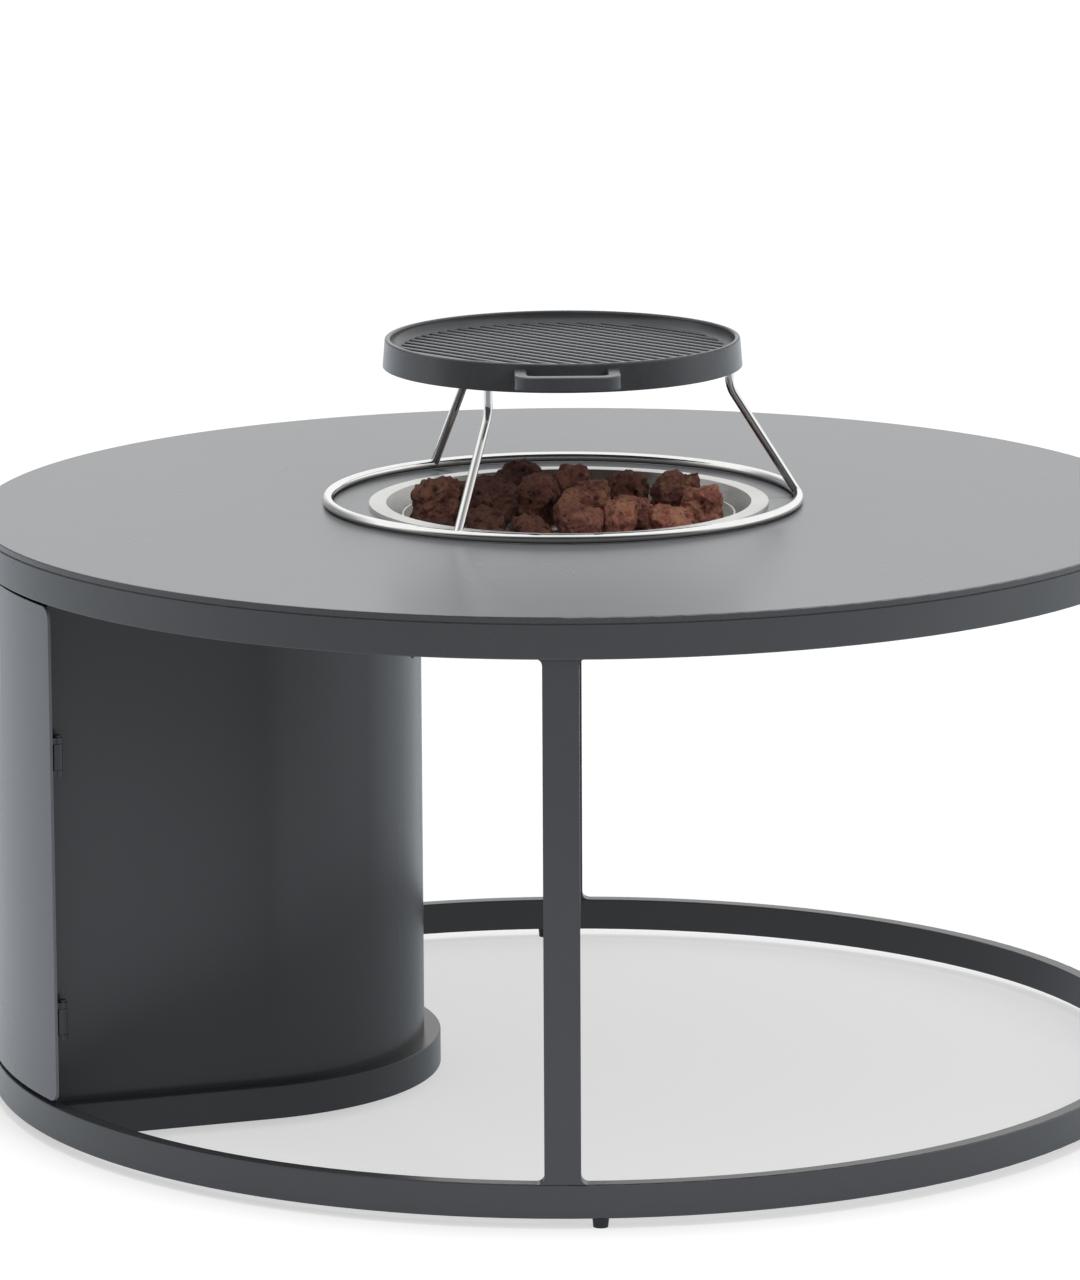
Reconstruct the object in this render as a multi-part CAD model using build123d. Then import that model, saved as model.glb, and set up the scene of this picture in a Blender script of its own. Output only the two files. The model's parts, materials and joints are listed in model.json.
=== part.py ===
from build123d import *
import math
import os

# Round gas fire pit table with a bottle housing, a burner bowl and a loose grill plate on a wire stand.
# Millimetres, +Z up, origin on the floor under the middle of the table.
# The housing is towards -X, and the seated side that faces a viewer is -Y.

# Clearances
RUNNING_CLEARANCE = 0.05
LOOSE_CLEARANCE = 0.3
THREAD_CLEARANCE = 0.1

# Table frame
TABLE_RADIUS = 500.0
TABLE_HEIGHT = 494.0
TOP_THICKNESS = 6.0
RIM_WIDTH = 20.0
RIM_HEIGHT = 28.0
BASE_RING_INSET = 5.0
BAR_THICKNESS = 13.0
BASE_RING_HEIGHT = 28.0
LEG_WIDTH = 29.0
LEG_FILLET = 6.0
LEG_ANGLES = {"leg_front": 270.0, "leg_back": 91.2, "leg_right": 0.0}
EDGE_ROUND = 1.0
SHADOW_CHAMFER = 0.9

# Feet
FOOT_HEIGHT = 8.0
FOOT_TOP_RADIUS = 6.8
FOOT_BOTTOM_RADIUS = 6.0
FOOT_STEM_RADIUS = 3.0
FOOT_STEM_LENGTH = 10.0
FOOT_COUNT = 4
FOOT_TURN = 3.5

# Bars under the tabletop
SUPPORT_BAR_GAP = 13.0
SUPPORT_BAR_SIZE = 20.0
SUPPORT_SCREW_PITCH = 260.0

# Screws
SCREW_RADIUS = 2.5
SCREW_HEAD_RADIUS = 4.5
SCREW_HEAD_HEIGHT = 2.6
SCREW_BITE = 4.0

# Bottle housing
SHEET = 2.0
HOUSING_DEPTH = 369.0
HOUSING_FLARE = 20.0
WALL_END_RADIUS = 190.0
WALL_DOOR_GAP = 7.0
FLOOR_LEDGE = 14.0
FLOOR_VENT_RADIUS = 12.0
FLOOR_VENT_PITCH = 45.0
FLOOR_VENT_COUNT = 3
WALL_BOWL_GAP = 4.0
BRACKET_LENGTH = 30.0
BRACKET_LEG = 24.0
BRACKET_PLACES = (20.0, 120.0)

# Door
DOOR_OVERHANG = 20.9
DOOR_GAP = 4.5
DOOR_CORNER = 9.0

# Hinges
HINGE_LOWER_RISE = 55.7
HINGE_UPPER_DROP = 115.2
HINGE_BLOCK_HEIGHT = 21.5
HINGE_OFFSET = 10.0
HINGE_SETBACK = 4.0
HINGE_BLOCK_REACH = 4.0
HINGE_PIN_RADIUS = 2.0
HINGE_EYE_RADIUS = 4.0
HINGE_EYE_HEIGHT = 5.0
HINGE_GAP = 0.4
HINGE_ARM_WIDTH = 6.0
HINGE_LEAF_WIDTH = 24.0
HINGE_LEAF_NEAR = 5.0
HINGE_PIN_HEAD_RADIUS = 3.2
HINGE_PIN_HEAD = 1.5

# Magnet catch on the door's free side
CATCH_LENGTH = 40.0
CATCH_THICKNESS = 13.0
CATCH_DEPTH = 20.0
STRIKER_LENGTH = 26.0
STRIKER_WIDTH = 9.0

# Burner bowl and lava tray
FLANGE_WIDTH = 14.5
FLANGE_RISE = 3.0
BOWL_MOUTH_RADIUS = 154.5
BOWL_DRAFT = 8.5
BOWL_DEPTH = 62.0
BOWL_SHEET = 1.5
TRAY_GAP = 13.5
TRAY_RIM_BELOW_TOP = 7.0
TRAY_RIM_HEIGHT = 18.0
TRAY_HOLE_RADIUS = 4.0
TRAY_HOLE_CIRCLES = (40.0, 80.0, 115.0)
TRAY_HOLE_PITCH = 31.0
TRAY_POST_RADIUS = 4.0
TRAY_POST_CIRCLE = 60.0
TRAY_POST_COUNT = 3

# Ring burner and its feed
BURNER_RADIUS = 95.0
BURNER_TUBE_RADIUS = 8.0
BURNER_TUBE_WALL = 1.5
BURNER_LIFT = 14.0
BURNER_PORT_COUNT = 24
BURNER_PORT_RADIUS = 1.3
SPOKE_RADIUS = 6.0
HUB_RADIUS = 13.0
STEM_RADIUS = 8.0
BURNER_NUT_FLATS = 26.0
BURNER_NUT_HEIGHT = 6.0
ELBOW_RADIUS = 11.0
ELBOW_SOCKET = 16.0
MIXER_RADIUS = 11.0
MIXER_WALL = 2.0
MIXER_START = 12.0
MIXER_END = 52.0
AIR_SLOT_LENGTH = 12.0
AIR_SLOT_WIDTH = 6.0
JET_RADIUS = 6.0
JET_FLATS = 15.0
JET_HEX = 8.0
JET_NOSE = 12.0
JET_ORIFICE_RADIUS = 0.8

# Gas pipe, valve and control panel
FEED_DROP = 55.0
FEED_SIDE = -45.0
PIPE_RADIUS = 4.0
PIPE_WALL = 1.0
PIPE_TURN_X = -110.0
PIPE_BEND = 40.0
PIPE_HOLE_RADIUS = 7.0
PANEL_SETBACK = 96.0
PANEL_HALF_WIDTH = 100.0
PANEL_BELOW_FEED = 37.0
PANEL_FLANGE = 28.0
PANEL_SCREW_SPREAD = 75.0
VALVE_LENGTH = 44.0
VALVE_SIZE = 36.0
NECK_RADIUS = 8.0
NECK_LENGTH = 12.0
VALVE_NUT_FLATS = 22.0
VALVE_NUT_THICKNESS = 5.0
SPINDLE_RADIUS = 4.0
SPINDLE_INSIDE = 28.0
SPINDLE_OUTSIDE = 31.0
SPINDLE_TRAVEL = 5.0
KNOB_RADIUS = 22.0
KNOB_GRIP_RADIUS = 17.0
KNOB_SKIRT = 7.0
KNOB_LENGTH = 22.0
KNOB_GAP = 7.0
KNOB_RIDGE_WIDTH = 5.0
KNOB_RIDGE_RISE = 2.0
NOZZLE_FLATS = 14.0
NOZZLE_HEX = 8.0
NOZZLE_RADIUS = 4.5
NOZZLE_LENGTH = 22.0
NOZZLE_BORE_RADIUS = 2.5

# Igniter, electrode and thermocouple
IGNITER_SIDE = 45.0
IGNITER_RADIUS = 9.0
IGNITER_LENGTH = 38.0
IGNITER_FLANGE_RADIUS = 13.0
IGNITER_FLANGE = 3.0
IGNITER_NUT_FLATS = 26.0
IGNITER_NUT_THICKNESS = 5.0
BUTTON_RADIUS = 7.0
BUTTON_INSIDE = 16.0
BUTTON_OUTSIDE = 8.0
BUTTON_TRAVEL = 5.0
PROBE_CIRCLE = 112.0
ELECTRODE_ANGLE = 40.0
THERMOCOUPLE_ANGLE = 56.0
PROBE_BELOW = 7.0
PROBE_RISE = 20.0
ELECTRODE_RADIUS = 3.5
ELECTRODE_TIP_RADIUS = 1.2
ELECTRODE_TIP = 10.0
THERMOCOUPLE_RADIUS = 3.0
PROBE_PLATE_LENGTH = 52.0
PROBE_PLATE_WIDTH = 14.0
IGNITION_LEAD_RADIUS = 1.6
THERMOCOUPLE_LEAD_RADIUS = 1.2
THERMOCOUPLE_LEAD_RISE = 12.0
LEAD_HOLE_RADIUS = 3.0
LEAD_DROP = 30.0
LEAD_TURN_X = -70.0
LEAD_BEND = 14.0

# Lava rocks: middle x, middle y, width, depth and height as shares of the tray's radius, and turn of each
ROCKS = (
    (-0.801, 0.113, 0.312, 0.284, 0.298, 20.0),
    (-0.475, 0.099, 0.312, 0.298, 0.305, 50.0),
    (-0.326, 0.624, 0.284, 0.270, 0.312, 10.0),
    (-0.191, 0.270, 0.270, 0.255, 0.284, 75.0),
    (-0.014, 0.582, 0.241, 0.255, 0.284, 35.0),
    (0.064, 0.014, 0.340, 0.255, 0.255, 10.0),
    (0.326, 0.582, 0.312, 0.255, 0.255, -15.0),
    (0.071, -0.369, 0.298, 0.284, 0.213, 15.0),
    (0.312, -0.227, 0.241, 0.206, 0.227, 80.0),
    (-0.213, -0.326, 0.255, 0.241, 0.142, 5.0),
    (0.638, 0.440, 0.298, 0.270, 0.270, 30.0),
    (0.801, 0.142, 0.255, 0.270, 0.241, 70.0),
    (0.624, -0.227, 0.298, 0.284, 0.184, 5.0),
    (0.851, -0.270, 0.142, 0.170, 0.142, 60.0),
    (-0.652, 0.482, 0.270, 0.270, 0.213, 45.0),
    (-0.738, -0.270, 0.270, 0.270, 0.128, 60.0),
    (0.383, 0.128, 0.255, 0.255, 0.184, 55.0),
    (-0.489, -0.270, 0.255, 0.255, 0.184, 0.0),
    (-0.156, -0.652, 0.270, 0.255, 0.128, 40.0),
    (-0.440, -0.624, 0.255, 0.241, 0.128, 25.0),
    (0.582, -0.567, 0.255, 0.241, 0.128, 65.0),
    (0.057, 0.837, 0.270, 0.213, 0.156, 0.0),
    (0.142, 0.312, 0.241, 0.227, 0.241, 80.0),
)
ROCK_TILTS = ((50.0, 15.0, 40.0), (-35.0, 40.0, -30.0))
ROCK_CUT = 1.16
ROCK_SHRINK = 0.86

# Wire stand for the grill plate
STAND_X = -5.0
STAND_Y = 12.0
STAND_SEAT = 0.2
STAND_RING_GAP = 30.6
STAND_WIRE_RADIUS = 4.2
STAND_TOP_INSET = 8.5
STAND_TOP_WIRE_RADIUS = 4.0
STAND_LEG_WIRE_RADIUS = 3.8
STAND_LEG_ANGLES = {"stand_leg_right": 5.0, "stand_leg_rear_left": 125.0, "stand_leg_front_left": 245.0}
STAND_BEND_HEIGHT = 97.0
STAND_BEND = 28.0

# Grill plate
PLATE_TOP = 141.3
PLATE_HEIGHT = 23.7
PLATE_TOP_RADIUS = 150.0
PLATE_FLARE = 2.0
PLATE_LIP = 4.5
PLATE_RECESS = 10.7
PLATE_FLOOR = 6.0
PLATE_SKIRT = 4.5
PLATE_DRAFT = 1.0
PLATE_LIP_ROUND = 1.6
PLATE_FLOOR_ROUND = 9.0
RIB_PITCH = 12.0
RIB_WIDTH = 5.4
RIB_HEIGHT = 2.6
RIB_ROUND = 1.2
RIB_ANGLE = -44.0
HANDLE_ANGLE = 272.2
HANDLE_WIDTH = 88.0
HANDLE_REACH = 44.0
HANDLE_BAR = 12.0
HANDLE_ARM = 11.0
HANDLE_THICKNESS = 12.4
HANDLE_BELOW_RIM = 4.3
HANDLE_CORNER = 18.0
HANDLE_INNER_CORNER = 7.0
HANDLE_ROUND = 1.8

# Heights and radii worked out from the sizes above
TOP_UNDERSIDE = TABLE_HEIGHT - TOP_THICKNESS
RIM_BOTTOM = TOP_UNDERSIDE - RIM_HEIGHT
RIM_INNER = TABLE_RADIUS - RIM_WIDTH
BASE_TOP = FOOT_HEIGHT + BASE_RING_HEIGHT
BASE_RING_RADIUS = TABLE_RADIUS - BASE_RING_INSET
BASE_RING_INNER = BASE_RING_RADIUS - BAR_THICKNESS
DOOR_OUTER = BASE_RING_RADIUS
DOOR_INNER = DOOR_OUTER - SHEET
DOOR_BOTTOM = BASE_TOP + DOOR_GAP
DOOR_TOP = RIM_BOTTOM - DOOR_GAP
HINGE_HEIGHTS = {
    "lower": DOOR_BOTTOM + HINGE_LOWER_RISE,
    "upper": DOOR_TOP - HINGE_UPPER_DROP - HINGE_BLOCK_HEIGHT,
}
CATCH_HEIGHT = (DOOR_BOTTOM + DOOR_TOP) / 2
WALL_FRONT_RADIUS = DOOR_INNER - WALL_DOOR_GAP
FLOOR_END_RADIUS = WALL_END_RADIUS + FLOOR_LEDGE
HOUSING_CENTRE_X = HOUSING_DEPTH - DOOR_OUTER - WALL_END_RADIUS
FLANGE_RADIUS = BOWL_MOUTH_RADIUS + FLANGE_WIDTH
FLANGE_TOP = TABLE_HEIGHT + FLANGE_RISE
BOWL_BOTTOM_RADIUS = BOWL_MOUTH_RADIUS - BOWL_DRAFT
BOWL_UNDERSIDE = TABLE_HEIGHT - BOWL_DEPTH
BOWL_FLOOR = BOWL_UNDERSIDE + BOWL_SHEET
TRAY_RADIUS = BOWL_MOUTH_RADIUS - TRAY_GAP
TRAY_RIM_TOP = TABLE_HEIGHT - TRAY_RIM_BELOW_TOP
TRAY_UNDERSIDE = TRAY_RIM_TOP - TRAY_RIM_HEIGHT
TRAY_FLOOR = TRAY_UNDERSIDE + BOWL_SHEET
BURNER_HEIGHT = BOWL_FLOOR + BURNER_LIFT
FEED_HEIGHT = BOWL_UNDERSIDE - FEED_DROP
PANEL_X = PANEL_SETBACK - DOOR_OUTER
PANEL_FRONT = PANEL_X - SHEET
PANEL_BOTTOM = FEED_HEIGHT - PANEL_BELOW_FEED
NOZZLE_X = PANEL_X + VALVE_LENGTH / 2
SCREW_HOLE_RADIUS = SCREW_RADIUS + THREAD_CLEARANCE
PLATE_BOTTOM_RADIUS = PLATE_TOP_RADIUS + PLATE_FLARE
PLATE_BOTTOM = TABLE_HEIGHT + PLATE_TOP - PLATE_HEIGHT
PLATE_FLOOR_TOP = PLATE_HEIGHT - PLATE_RECESS
PLATE_UNDERSIDE = PLATE_BOTTOM + PLATE_FLOOR_TOP - PLATE_FLOOR
STAND_RING_RADIUS = FLANGE_RADIUS + STAND_RING_GAP
STAND_RING_HEIGHT = TABLE_HEIGHT + STAND_SEAT + STAND_WIRE_RADIUS
STAND_TOP_RADIUS = PLATE_TOP_RADIUS - STAND_TOP_INSET
STAND_TOP_HEIGHT = PLATE_UNDERSIDE - STAND_SEAT - STAND_TOP_WIRE_RADIUS

nodes = {}


# Plain shapes
def upright(radius, bottom, height, x=0.0, y=0.0):
    """A round bar or hole that stands on the height bottom."""
    bar = Cylinder(radius, height, align=(Align.CENTER, Align.CENTER, Align.MIN))
    return Pos(x, y, bottom) * bar


def lying(radius, start, length, y, z):
    """A round bar or hole along +X from the place start."""
    bar = Cylinder(radius, length, align=(Align.CENTER, Align.CENTER, Align.MIN))
    return Pos(start, y, z) * Rot(0, 90, 0) * bar


def block(x_range, y_range, z_range):
    """A box between the given ends."""
    size = [high - low for low, high in (x_range, y_range, z_range)]
    corner = [low for low, high in (x_range, y_range, z_range)]
    return Pos(*corner) * Box(*size, align=Align.MIN)


def ring(outer, inner, bottom, height):
    """A flat ring about the table's axis."""
    return upright(outer, bottom, height) - upright(inner, bottom, height)


def hexagon(flats, height):
    """A hexagonal bar that stands on z = 0."""
    return extrude(RegularPolygon(flats / 2, 6, major_radius=False), height)


def facing_x(shape):
    """Turn a shape that stands along +Z so that it lies along +X."""
    return Rot(0, 90, 0) * shape


def on_circle(radius, degrees):
    """The x and y of a place on a circle about the table's axis."""
    angle = math.radians(degrees)
    return radius * math.cos(angle), radius * math.sin(angle)


def circle_edges(shape):
    """The round edges of a turned shape."""
    return shape.edges().filter_by(GeomType.CIRCLE)


def turned(points):
    """A solid of revolution about the Z axis from an outline of radius and height."""
    return revolve(Plane.XZ * Polygon(*points, align=None), Axis.Z)


def tube(path, radius):
    """A round wire, pipe or hole along a path."""
    return sweep(Plane(path @ 0, z_dir=path % 0) * Circle(radius), path)


def gather(solids):
    """One node that holds several separate solids."""
    return Compound([solid for part in solids for solid in part.solids()])


def screw(x, y, seat, bite):
    """A pan-head screw that points up, with its head under the height seat."""
    head = upright(SCREW_HEAD_RADIUS, seat - SCREW_HEAD_HEIGHT, SCREW_HEAD_HEIGHT, x, y)
    return head + upright(SCREW_RADIUS, seat, bite, x, y)


def screw_hole(x, y, bottom, depth):
    """A hole for such a screw."""
    return upright(SCREW_HOLE_RADIUS, bottom, depth, x, y)


# Housing outline: a round inner end with two straight sides that flare towards the table's edge
FLARE = math.radians(HOUSING_FLARE)
SIDE_OUTWARD = (-math.cos(FLARE), -math.sin(FLARE))
SIDE_NORMAL = (math.sin(FLARE), -math.cos(FLARE))


def tongue(end_radius, bottom, height, reach):
    """The housing's outline as a solid, cut off at a distance from the table's axis."""
    run = TABLE_RADIUS
    near = (HOUSING_CENTRE_X + end_radius * SIDE_NORMAL[0], end_radius * SIDE_NORMAL[1])
    far = (near[0], -near[1])
    near_end = (near[0] + run * SIDE_OUTWARD[0], near[1] + run * SIDE_OUTWARD[1])
    far_end = (near_end[0], -near_end[1])
    outline = [
        ThreePointArc(near, (HOUSING_CENTRE_X + end_radius, 0), far),
        Line(far, far_end),
        Line(far_end, near_end),
        Line(near_end, near),
    ]
    solid = Pos(0, 0, bottom) * extrude(make_face(outline), height)
    return solid & upright(reach, bottom, height)


def beside_wall(along, out, z=0.0):
    """A place by the near wall: local x runs outward along it and local y away from it."""
    x = HOUSING_CENTRE_X + WALL_END_RADIUS * SIDE_NORMAL[0] + along * SIDE_OUTWARD[0] + out * SIDE_NORMAL[0]
    y = WALL_END_RADIUS * SIDE_NORMAL[1] + along * SIDE_OUTWARD[1] + out * SIDE_NORMAL[1]
    return Pos(x, y, z) * Rot(0, 0, 180 + HOUSING_FLARE)


def wall_run():
    """The length of the wall's straight side, from the round end to its front edge."""
    start = beside_wall(0, 0).position
    toward = start.X * SIDE_OUTWARD[0] + start.Y * SIDE_OUTWARD[1]
    return math.sqrt(toward**2 + WALL_FRONT_RADIUS**2 - start.X**2 - start.Y**2) - toward


def far_side(shape):
    """The same shape on the housing's other side."""
    return mirror(shape, about=Plane.XZ)


WALL_FRONT_HALF_WIDTH = -beside_wall(wall_run(), 0).position.Y
SUPPORT_BAR_OFFSET = WALL_FRONT_HALF_WIDTH + SUPPORT_BAR_GAP + SUPPORT_BAR_SIZE / 2
HINGE_PLACE = beside_wall(wall_run() - HINGE_SETBACK, HINGE_OFFSET).position
BRACKET_MIDDLES = [beside_wall(along, -SHEET - BRACKET_LEG / 2).position for along in BRACKET_PLACES]
BRACKET_SCREWS = [(spot.X, side * spot.Y) for spot in BRACKET_MIDDLES for side in (1, -1)]
SUPPORT_SCREWS = [
    (step * SUPPORT_SCREW_PITCH, side * SUPPORT_BAR_OFFSET) for step in (-1, 0, 1) for side in (1, -1)
]
PANEL_SCREWS = [(PANEL_X + PANEL_FLANGE / 2, side * PANEL_SCREW_SPREAD) for side in (1, -1)]


# Table frame
def base_ring():
    body = ring(BASE_RING_RADIUS, BASE_RING_INNER, FOOT_HEIGHT, BASE_RING_HEIGHT)
    body = fillet(circle_edges(body), EDGE_ROUND)
    depth = FOOT_STEM_LENGTH + LOOSE_CLEARANCE
    for x, y in foot_places():
        body -= upright(FOOT_STEM_RADIUS + THREAD_CLEARANCE, FOOT_HEIGHT, depth, x, y)
    return body


def rim_ring():
    body = ring(TABLE_RADIUS, RIM_INNER, RIM_BOTTOM, RIM_HEIGHT)
    low = circle_edges(body).group_by(Axis.Z)[0]
    body = fillet(low, EDGE_ROUND)
    top_outer = circle_edges(body).group_by(Axis.Z)[-1].sort_by(SortBy.RADIUS)[-1]
    return chamfer(top_outer, SHADOW_CHAMFER)


def tabletop():
    body = ring(TABLE_RADIUS, BOWL_MOUTH_RADIUS + BOWL_SHEET + LOOSE_CLEARANCE, TOP_UNDERSIDE, TOP_THICKNESS)
    low_outer = circle_edges(body).group_by(Axis.Z)[0].sort_by(SortBy.RADIUS)[-1]
    body = chamfer(low_outer, SHADOW_CHAMFER)
    top_outer = circle_edges(body).group_by(Axis.Z)[-1].sort_by(SortBy.RADIUS)[-1]
    body = fillet(top_outer, EDGE_ROUND)
    for x, y in SUPPORT_SCREWS + BRACKET_SCREWS + PANEL_SCREWS:
        body -= screw_hole(x, y, TOP_UNDERSIDE, SCREW_BITE + LOOSE_CLEARANCE)
    return body


def leg(degrees):
    """An upright flat bar between the rings, with a weld fillet at each corner."""
    half = LEG_WIDTH / 2
    wide = half + LEG_FILLET
    height = RIM_BOTTOM - BASE_TOP
    bulge = LEG_FILLET * (1 - math.sqrt(0.5))
    outline = [
        Line((-wide, 0), (wide, 0)),
        ThreePointArc((wide, 0), (half + bulge, bulge), (half, LEG_FILLET)),
        Line((half, LEG_FILLET), (half, height - LEG_FILLET)),
        ThreePointArc((half, height - LEG_FILLET), (half + bulge, height - bulge), (wide, height)),
        Line((wide, height), (-wide, height)),
        ThreePointArc((-wide, height), (-half - bulge, height - bulge), (-half, height - LEG_FILLET)),
        Line((-half, height - LEG_FILLET), (-half, LEG_FILLET)),
        ThreePointArc((-half, LEG_FILLET), (-half - bulge, bulge), (-wide, 0)),
    ]
    bar = extrude(Plane.XZ * make_face(outline), BAR_THICKNESS)
    return Rot(0, 0, degrees - 270) * Pos(0, -BASE_RING_INNER, BASE_TOP) * bar


def foot_places():
    """Where the glides go in under the base ring."""
    middle = BASE_RING_RADIUS - BAR_THICKNESS / 2
    return [on_circle(middle, FOOT_TURN + step * 360 / FOOT_COUNT) for step in range(FOOT_COUNT)]


def foot_glides():
    glide = turned([
        (0, 0),
        (FOOT_BOTTOM_RADIUS, 0),
        (FOOT_TOP_RADIUS, FOOT_HEIGHT),
        (FOOT_STEM_RADIUS, FOOT_HEIGHT),
        (FOOT_STEM_RADIUS, FOOT_HEIGHT + FOOT_STEM_LENGTH),
        (0, FOOT_HEIGHT + FOOT_STEM_LENGTH),
    ])
    return gather([Pos(x, y, 0) * glide for x, y in foot_places()])


def support_bar(side):
    middle = side * SUPPORT_BAR_OFFSET
    half = SUPPORT_BAR_SIZE / 2
    low = TOP_UNDERSIDE - SUPPORT_BAR_SIZE
    bar = block((-TABLE_RADIUS, TABLE_RADIUS), (middle - half, middle + half), (low, TOP_UNDERSIDE))
    bar = bar & upright(RIM_INNER, low, SUPPORT_BAR_SIZE)
    for x, y in SUPPORT_SCREWS:
        bar -= screw_hole(x, y, low, SUPPORT_BAR_SIZE)
    return bar


def support_screws():
    low = TOP_UNDERSIDE - SUPPORT_BAR_SIZE
    return gather([screw(x, y, low, SUPPORT_BAR_SIZE + SCREW_BITE) for x, y in SUPPORT_SCREWS])


def table_frame():
    nodes["base_ring"] = base_ring()
    nodes["rim_ring"] = rim_ring()
    nodes["tabletop"] = tabletop()
    for name, degrees in LEG_ANGLES.items():
        nodes[name] = leg(degrees)
    nodes["foot_glides"] = foot_glides()
    nodes["support_bar_front"] = support_bar(-1)
    nodes["support_bar_back"] = support_bar(1)
    nodes["support_screws"] = support_screws()


# Bottle housing
def housing_floor():
    pan = tongue(FLOOR_END_RADIUS, FOOT_HEIGHT, BASE_RING_HEIGHT, BASE_RING_INNER)
    seen_edges = pan.edges().group_by(Axis.Z)[-1].sort_by(Axis.X)[1:]
    pan = fillet(seen_edges, EDGE_ROUND)
    hollow_height = BASE_RING_HEIGHT - SHEET
    pan -= tongue(FLOOR_END_RADIUS - SHEET, FOOT_HEIGHT, hollow_height, BASE_RING_INNER - SHEET)
    for x, y in BRACKET_SCREWS:
        pan -= screw_hole(x, y, BASE_TOP - SHEET, SHEET)
    for step in range(FLOOR_VENT_COUNT):
        vent_y = FEED_SIDE + step * FLOOR_VENT_PITCH
        pan -= upright(FLOOR_VENT_RADIUS, BASE_TOP - SHEET, SHEET, NOZZLE_X, vent_y)
    return pan


def housing_wall():
    height = TOP_UNDERSIDE - BASE_TOP
    wall = tongue(WALL_END_RADIUS, BASE_TOP, height, WALL_FRONT_RADIUS)
    wall -= tongue(WALL_END_RADIUS - SHEET, BASE_TOP, height, TABLE_RADIUS)
    notch_bottom = RIM_BOTTOM - LOOSE_CLEARANCE
    wall -= ring(TABLE_RADIUS, RIM_INNER - LOOSE_CLEARANCE, notch_bottom, TOP_UNDERSIDE - notch_bottom)
    cut_bottom = BOWL_UNDERSIDE - WALL_BOWL_GAP
    wall -= upright(BOWL_MOUTH_RADIUS + BOWL_SHEET + WALL_BOWL_GAP, cut_bottom, TOP_UNDERSIDE - cut_bottom)
    for radius, y, z in (
        (PIPE_HOLE_RADIUS, FEED_SIDE, FEED_HEIGHT),
        (LEAD_HOLE_RADIUS, IGNITER_SIDE, FEED_HEIGHT),
        (LEAD_HOLE_RADIUS, IGNITER_SIDE, FEED_HEIGHT + THERMOCOUPLE_LEAD_RISE),
    ):
        wall -= lying(radius, HOUSING_CENTRE_X, WALL_END_RADIUS, y, z)
    return wall


def corner_bracket(along, seat, rise):
    """An angle bracket inside the near wall, on a level seat, with its upright leg going up or down."""
    half = BRACKET_LENGTH / 2
    flat = block((-half, half), (-SHEET - BRACKET_LEG, -SHEET), sorted((0, rise * SHEET)))
    stand = block((-half, half), (-2 * SHEET, -SHEET), sorted((0, rise * BRACKET_LEG)))
    placed = beside_wall(along, 0, seat) * (flat + stand)
    spot = beside_wall(along, -SHEET - BRACKET_LEG / 2).position
    low = seat + min(0, rise * SHEET)
    return placed - screw_hole(spot.X, spot.Y, low, SHEET)


def wall_brackets(seat, rise):
    near = [corner_bracket(along, seat, rise) for along in BRACKET_PLACES]
    return gather(near + [far_side(bracket) for bracket in near])


def bracket_screws():
    upper_seat = TOP_UNDERSIDE - SHEET
    upper = [screw(x, y, upper_seat, SHEET + SCREW_BITE) for x, y in BRACKET_SCREWS]
    lower_seat = BASE_TOP + SHEET
    flip = Pos(0, 0, lower_seat) * Rot(180, 0, 0)
    lower = [flip * screw(x, -y, 0, 2 * SHEET + SCREW_BITE) for x, y in BRACKET_SCREWS]
    return gather(upper + lower)


def housing():
    nodes["housing_floor"] = housing_floor()
    nodes["housing_wall"] = housing_wall()
    nodes["wall_top_brackets"] = wall_brackets(TOP_UNDERSIDE, -1)
    nodes["wall_foot_brackets"] = wall_brackets(BASE_TOP, 1)
    nodes["wall_bracket_screws"] = bracket_screws()


# Door, hinges and catch
def door_panel():
    """A curved sheet along the table's edge, with rounded corners."""
    width = 2 * (WALL_FRONT_HALF_WIDTH + DOOR_OVERHANG)
    height = DOOR_TOP - DOOR_BOTTOM
    outline = extrude(Plane.YZ * RectangleRounded(width, height, DOOR_CORNER), TABLE_RADIUS)
    outline = Pos(-TABLE_RADIUS, 0, (DOOR_BOTTOM + DOOR_TOP) / 2) * outline
    return ring(DOOR_OUTER, DOOR_INNER, DOOR_BOTTOM, height) & outline


def hinge_block(bottom):
    """The fixed half of a hinge: a block on the wall's outer face with a round eye."""
    web = block((-HINGE_EYE_RADIUS, HINGE_BLOCK_REACH), (-HINGE_OFFSET, 0), (0, HINGE_BLOCK_HEIGHT))
    web += block((0, HINGE_BLOCK_REACH), (0, HINGE_EYE_RADIUS), (0, HINGE_BLOCK_HEIGHT))
    body = web + upright(HINGE_EYE_RADIUS, 0, HINGE_BLOCK_HEIGHT)
    body -= upright(HINGE_PIN_RADIUS + RUNNING_CLEARANCE, 0, HINGE_BLOCK_HEIGHT)
    return beside_wall(wall_run() - HINGE_SETBACK, HINGE_OFFSET, bottom) * body


def hinge_pin(bottom):
    reach = HINGE_EYE_HEIGHT + HINGE_GAP
    head_seat = HINGE_BLOCK_HEIGHT + reach + HINGE_GAP
    pin = upright(HINGE_PIN_RADIUS, -reach, reach + head_seat)
    pin += upright(HINGE_PIN_HEAD_RADIUS, head_seat, HINGE_PIN_HEAD)
    return Pos(HINGE_PLACE.X, HINGE_PLACE.Y, bottom) * pin


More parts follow.
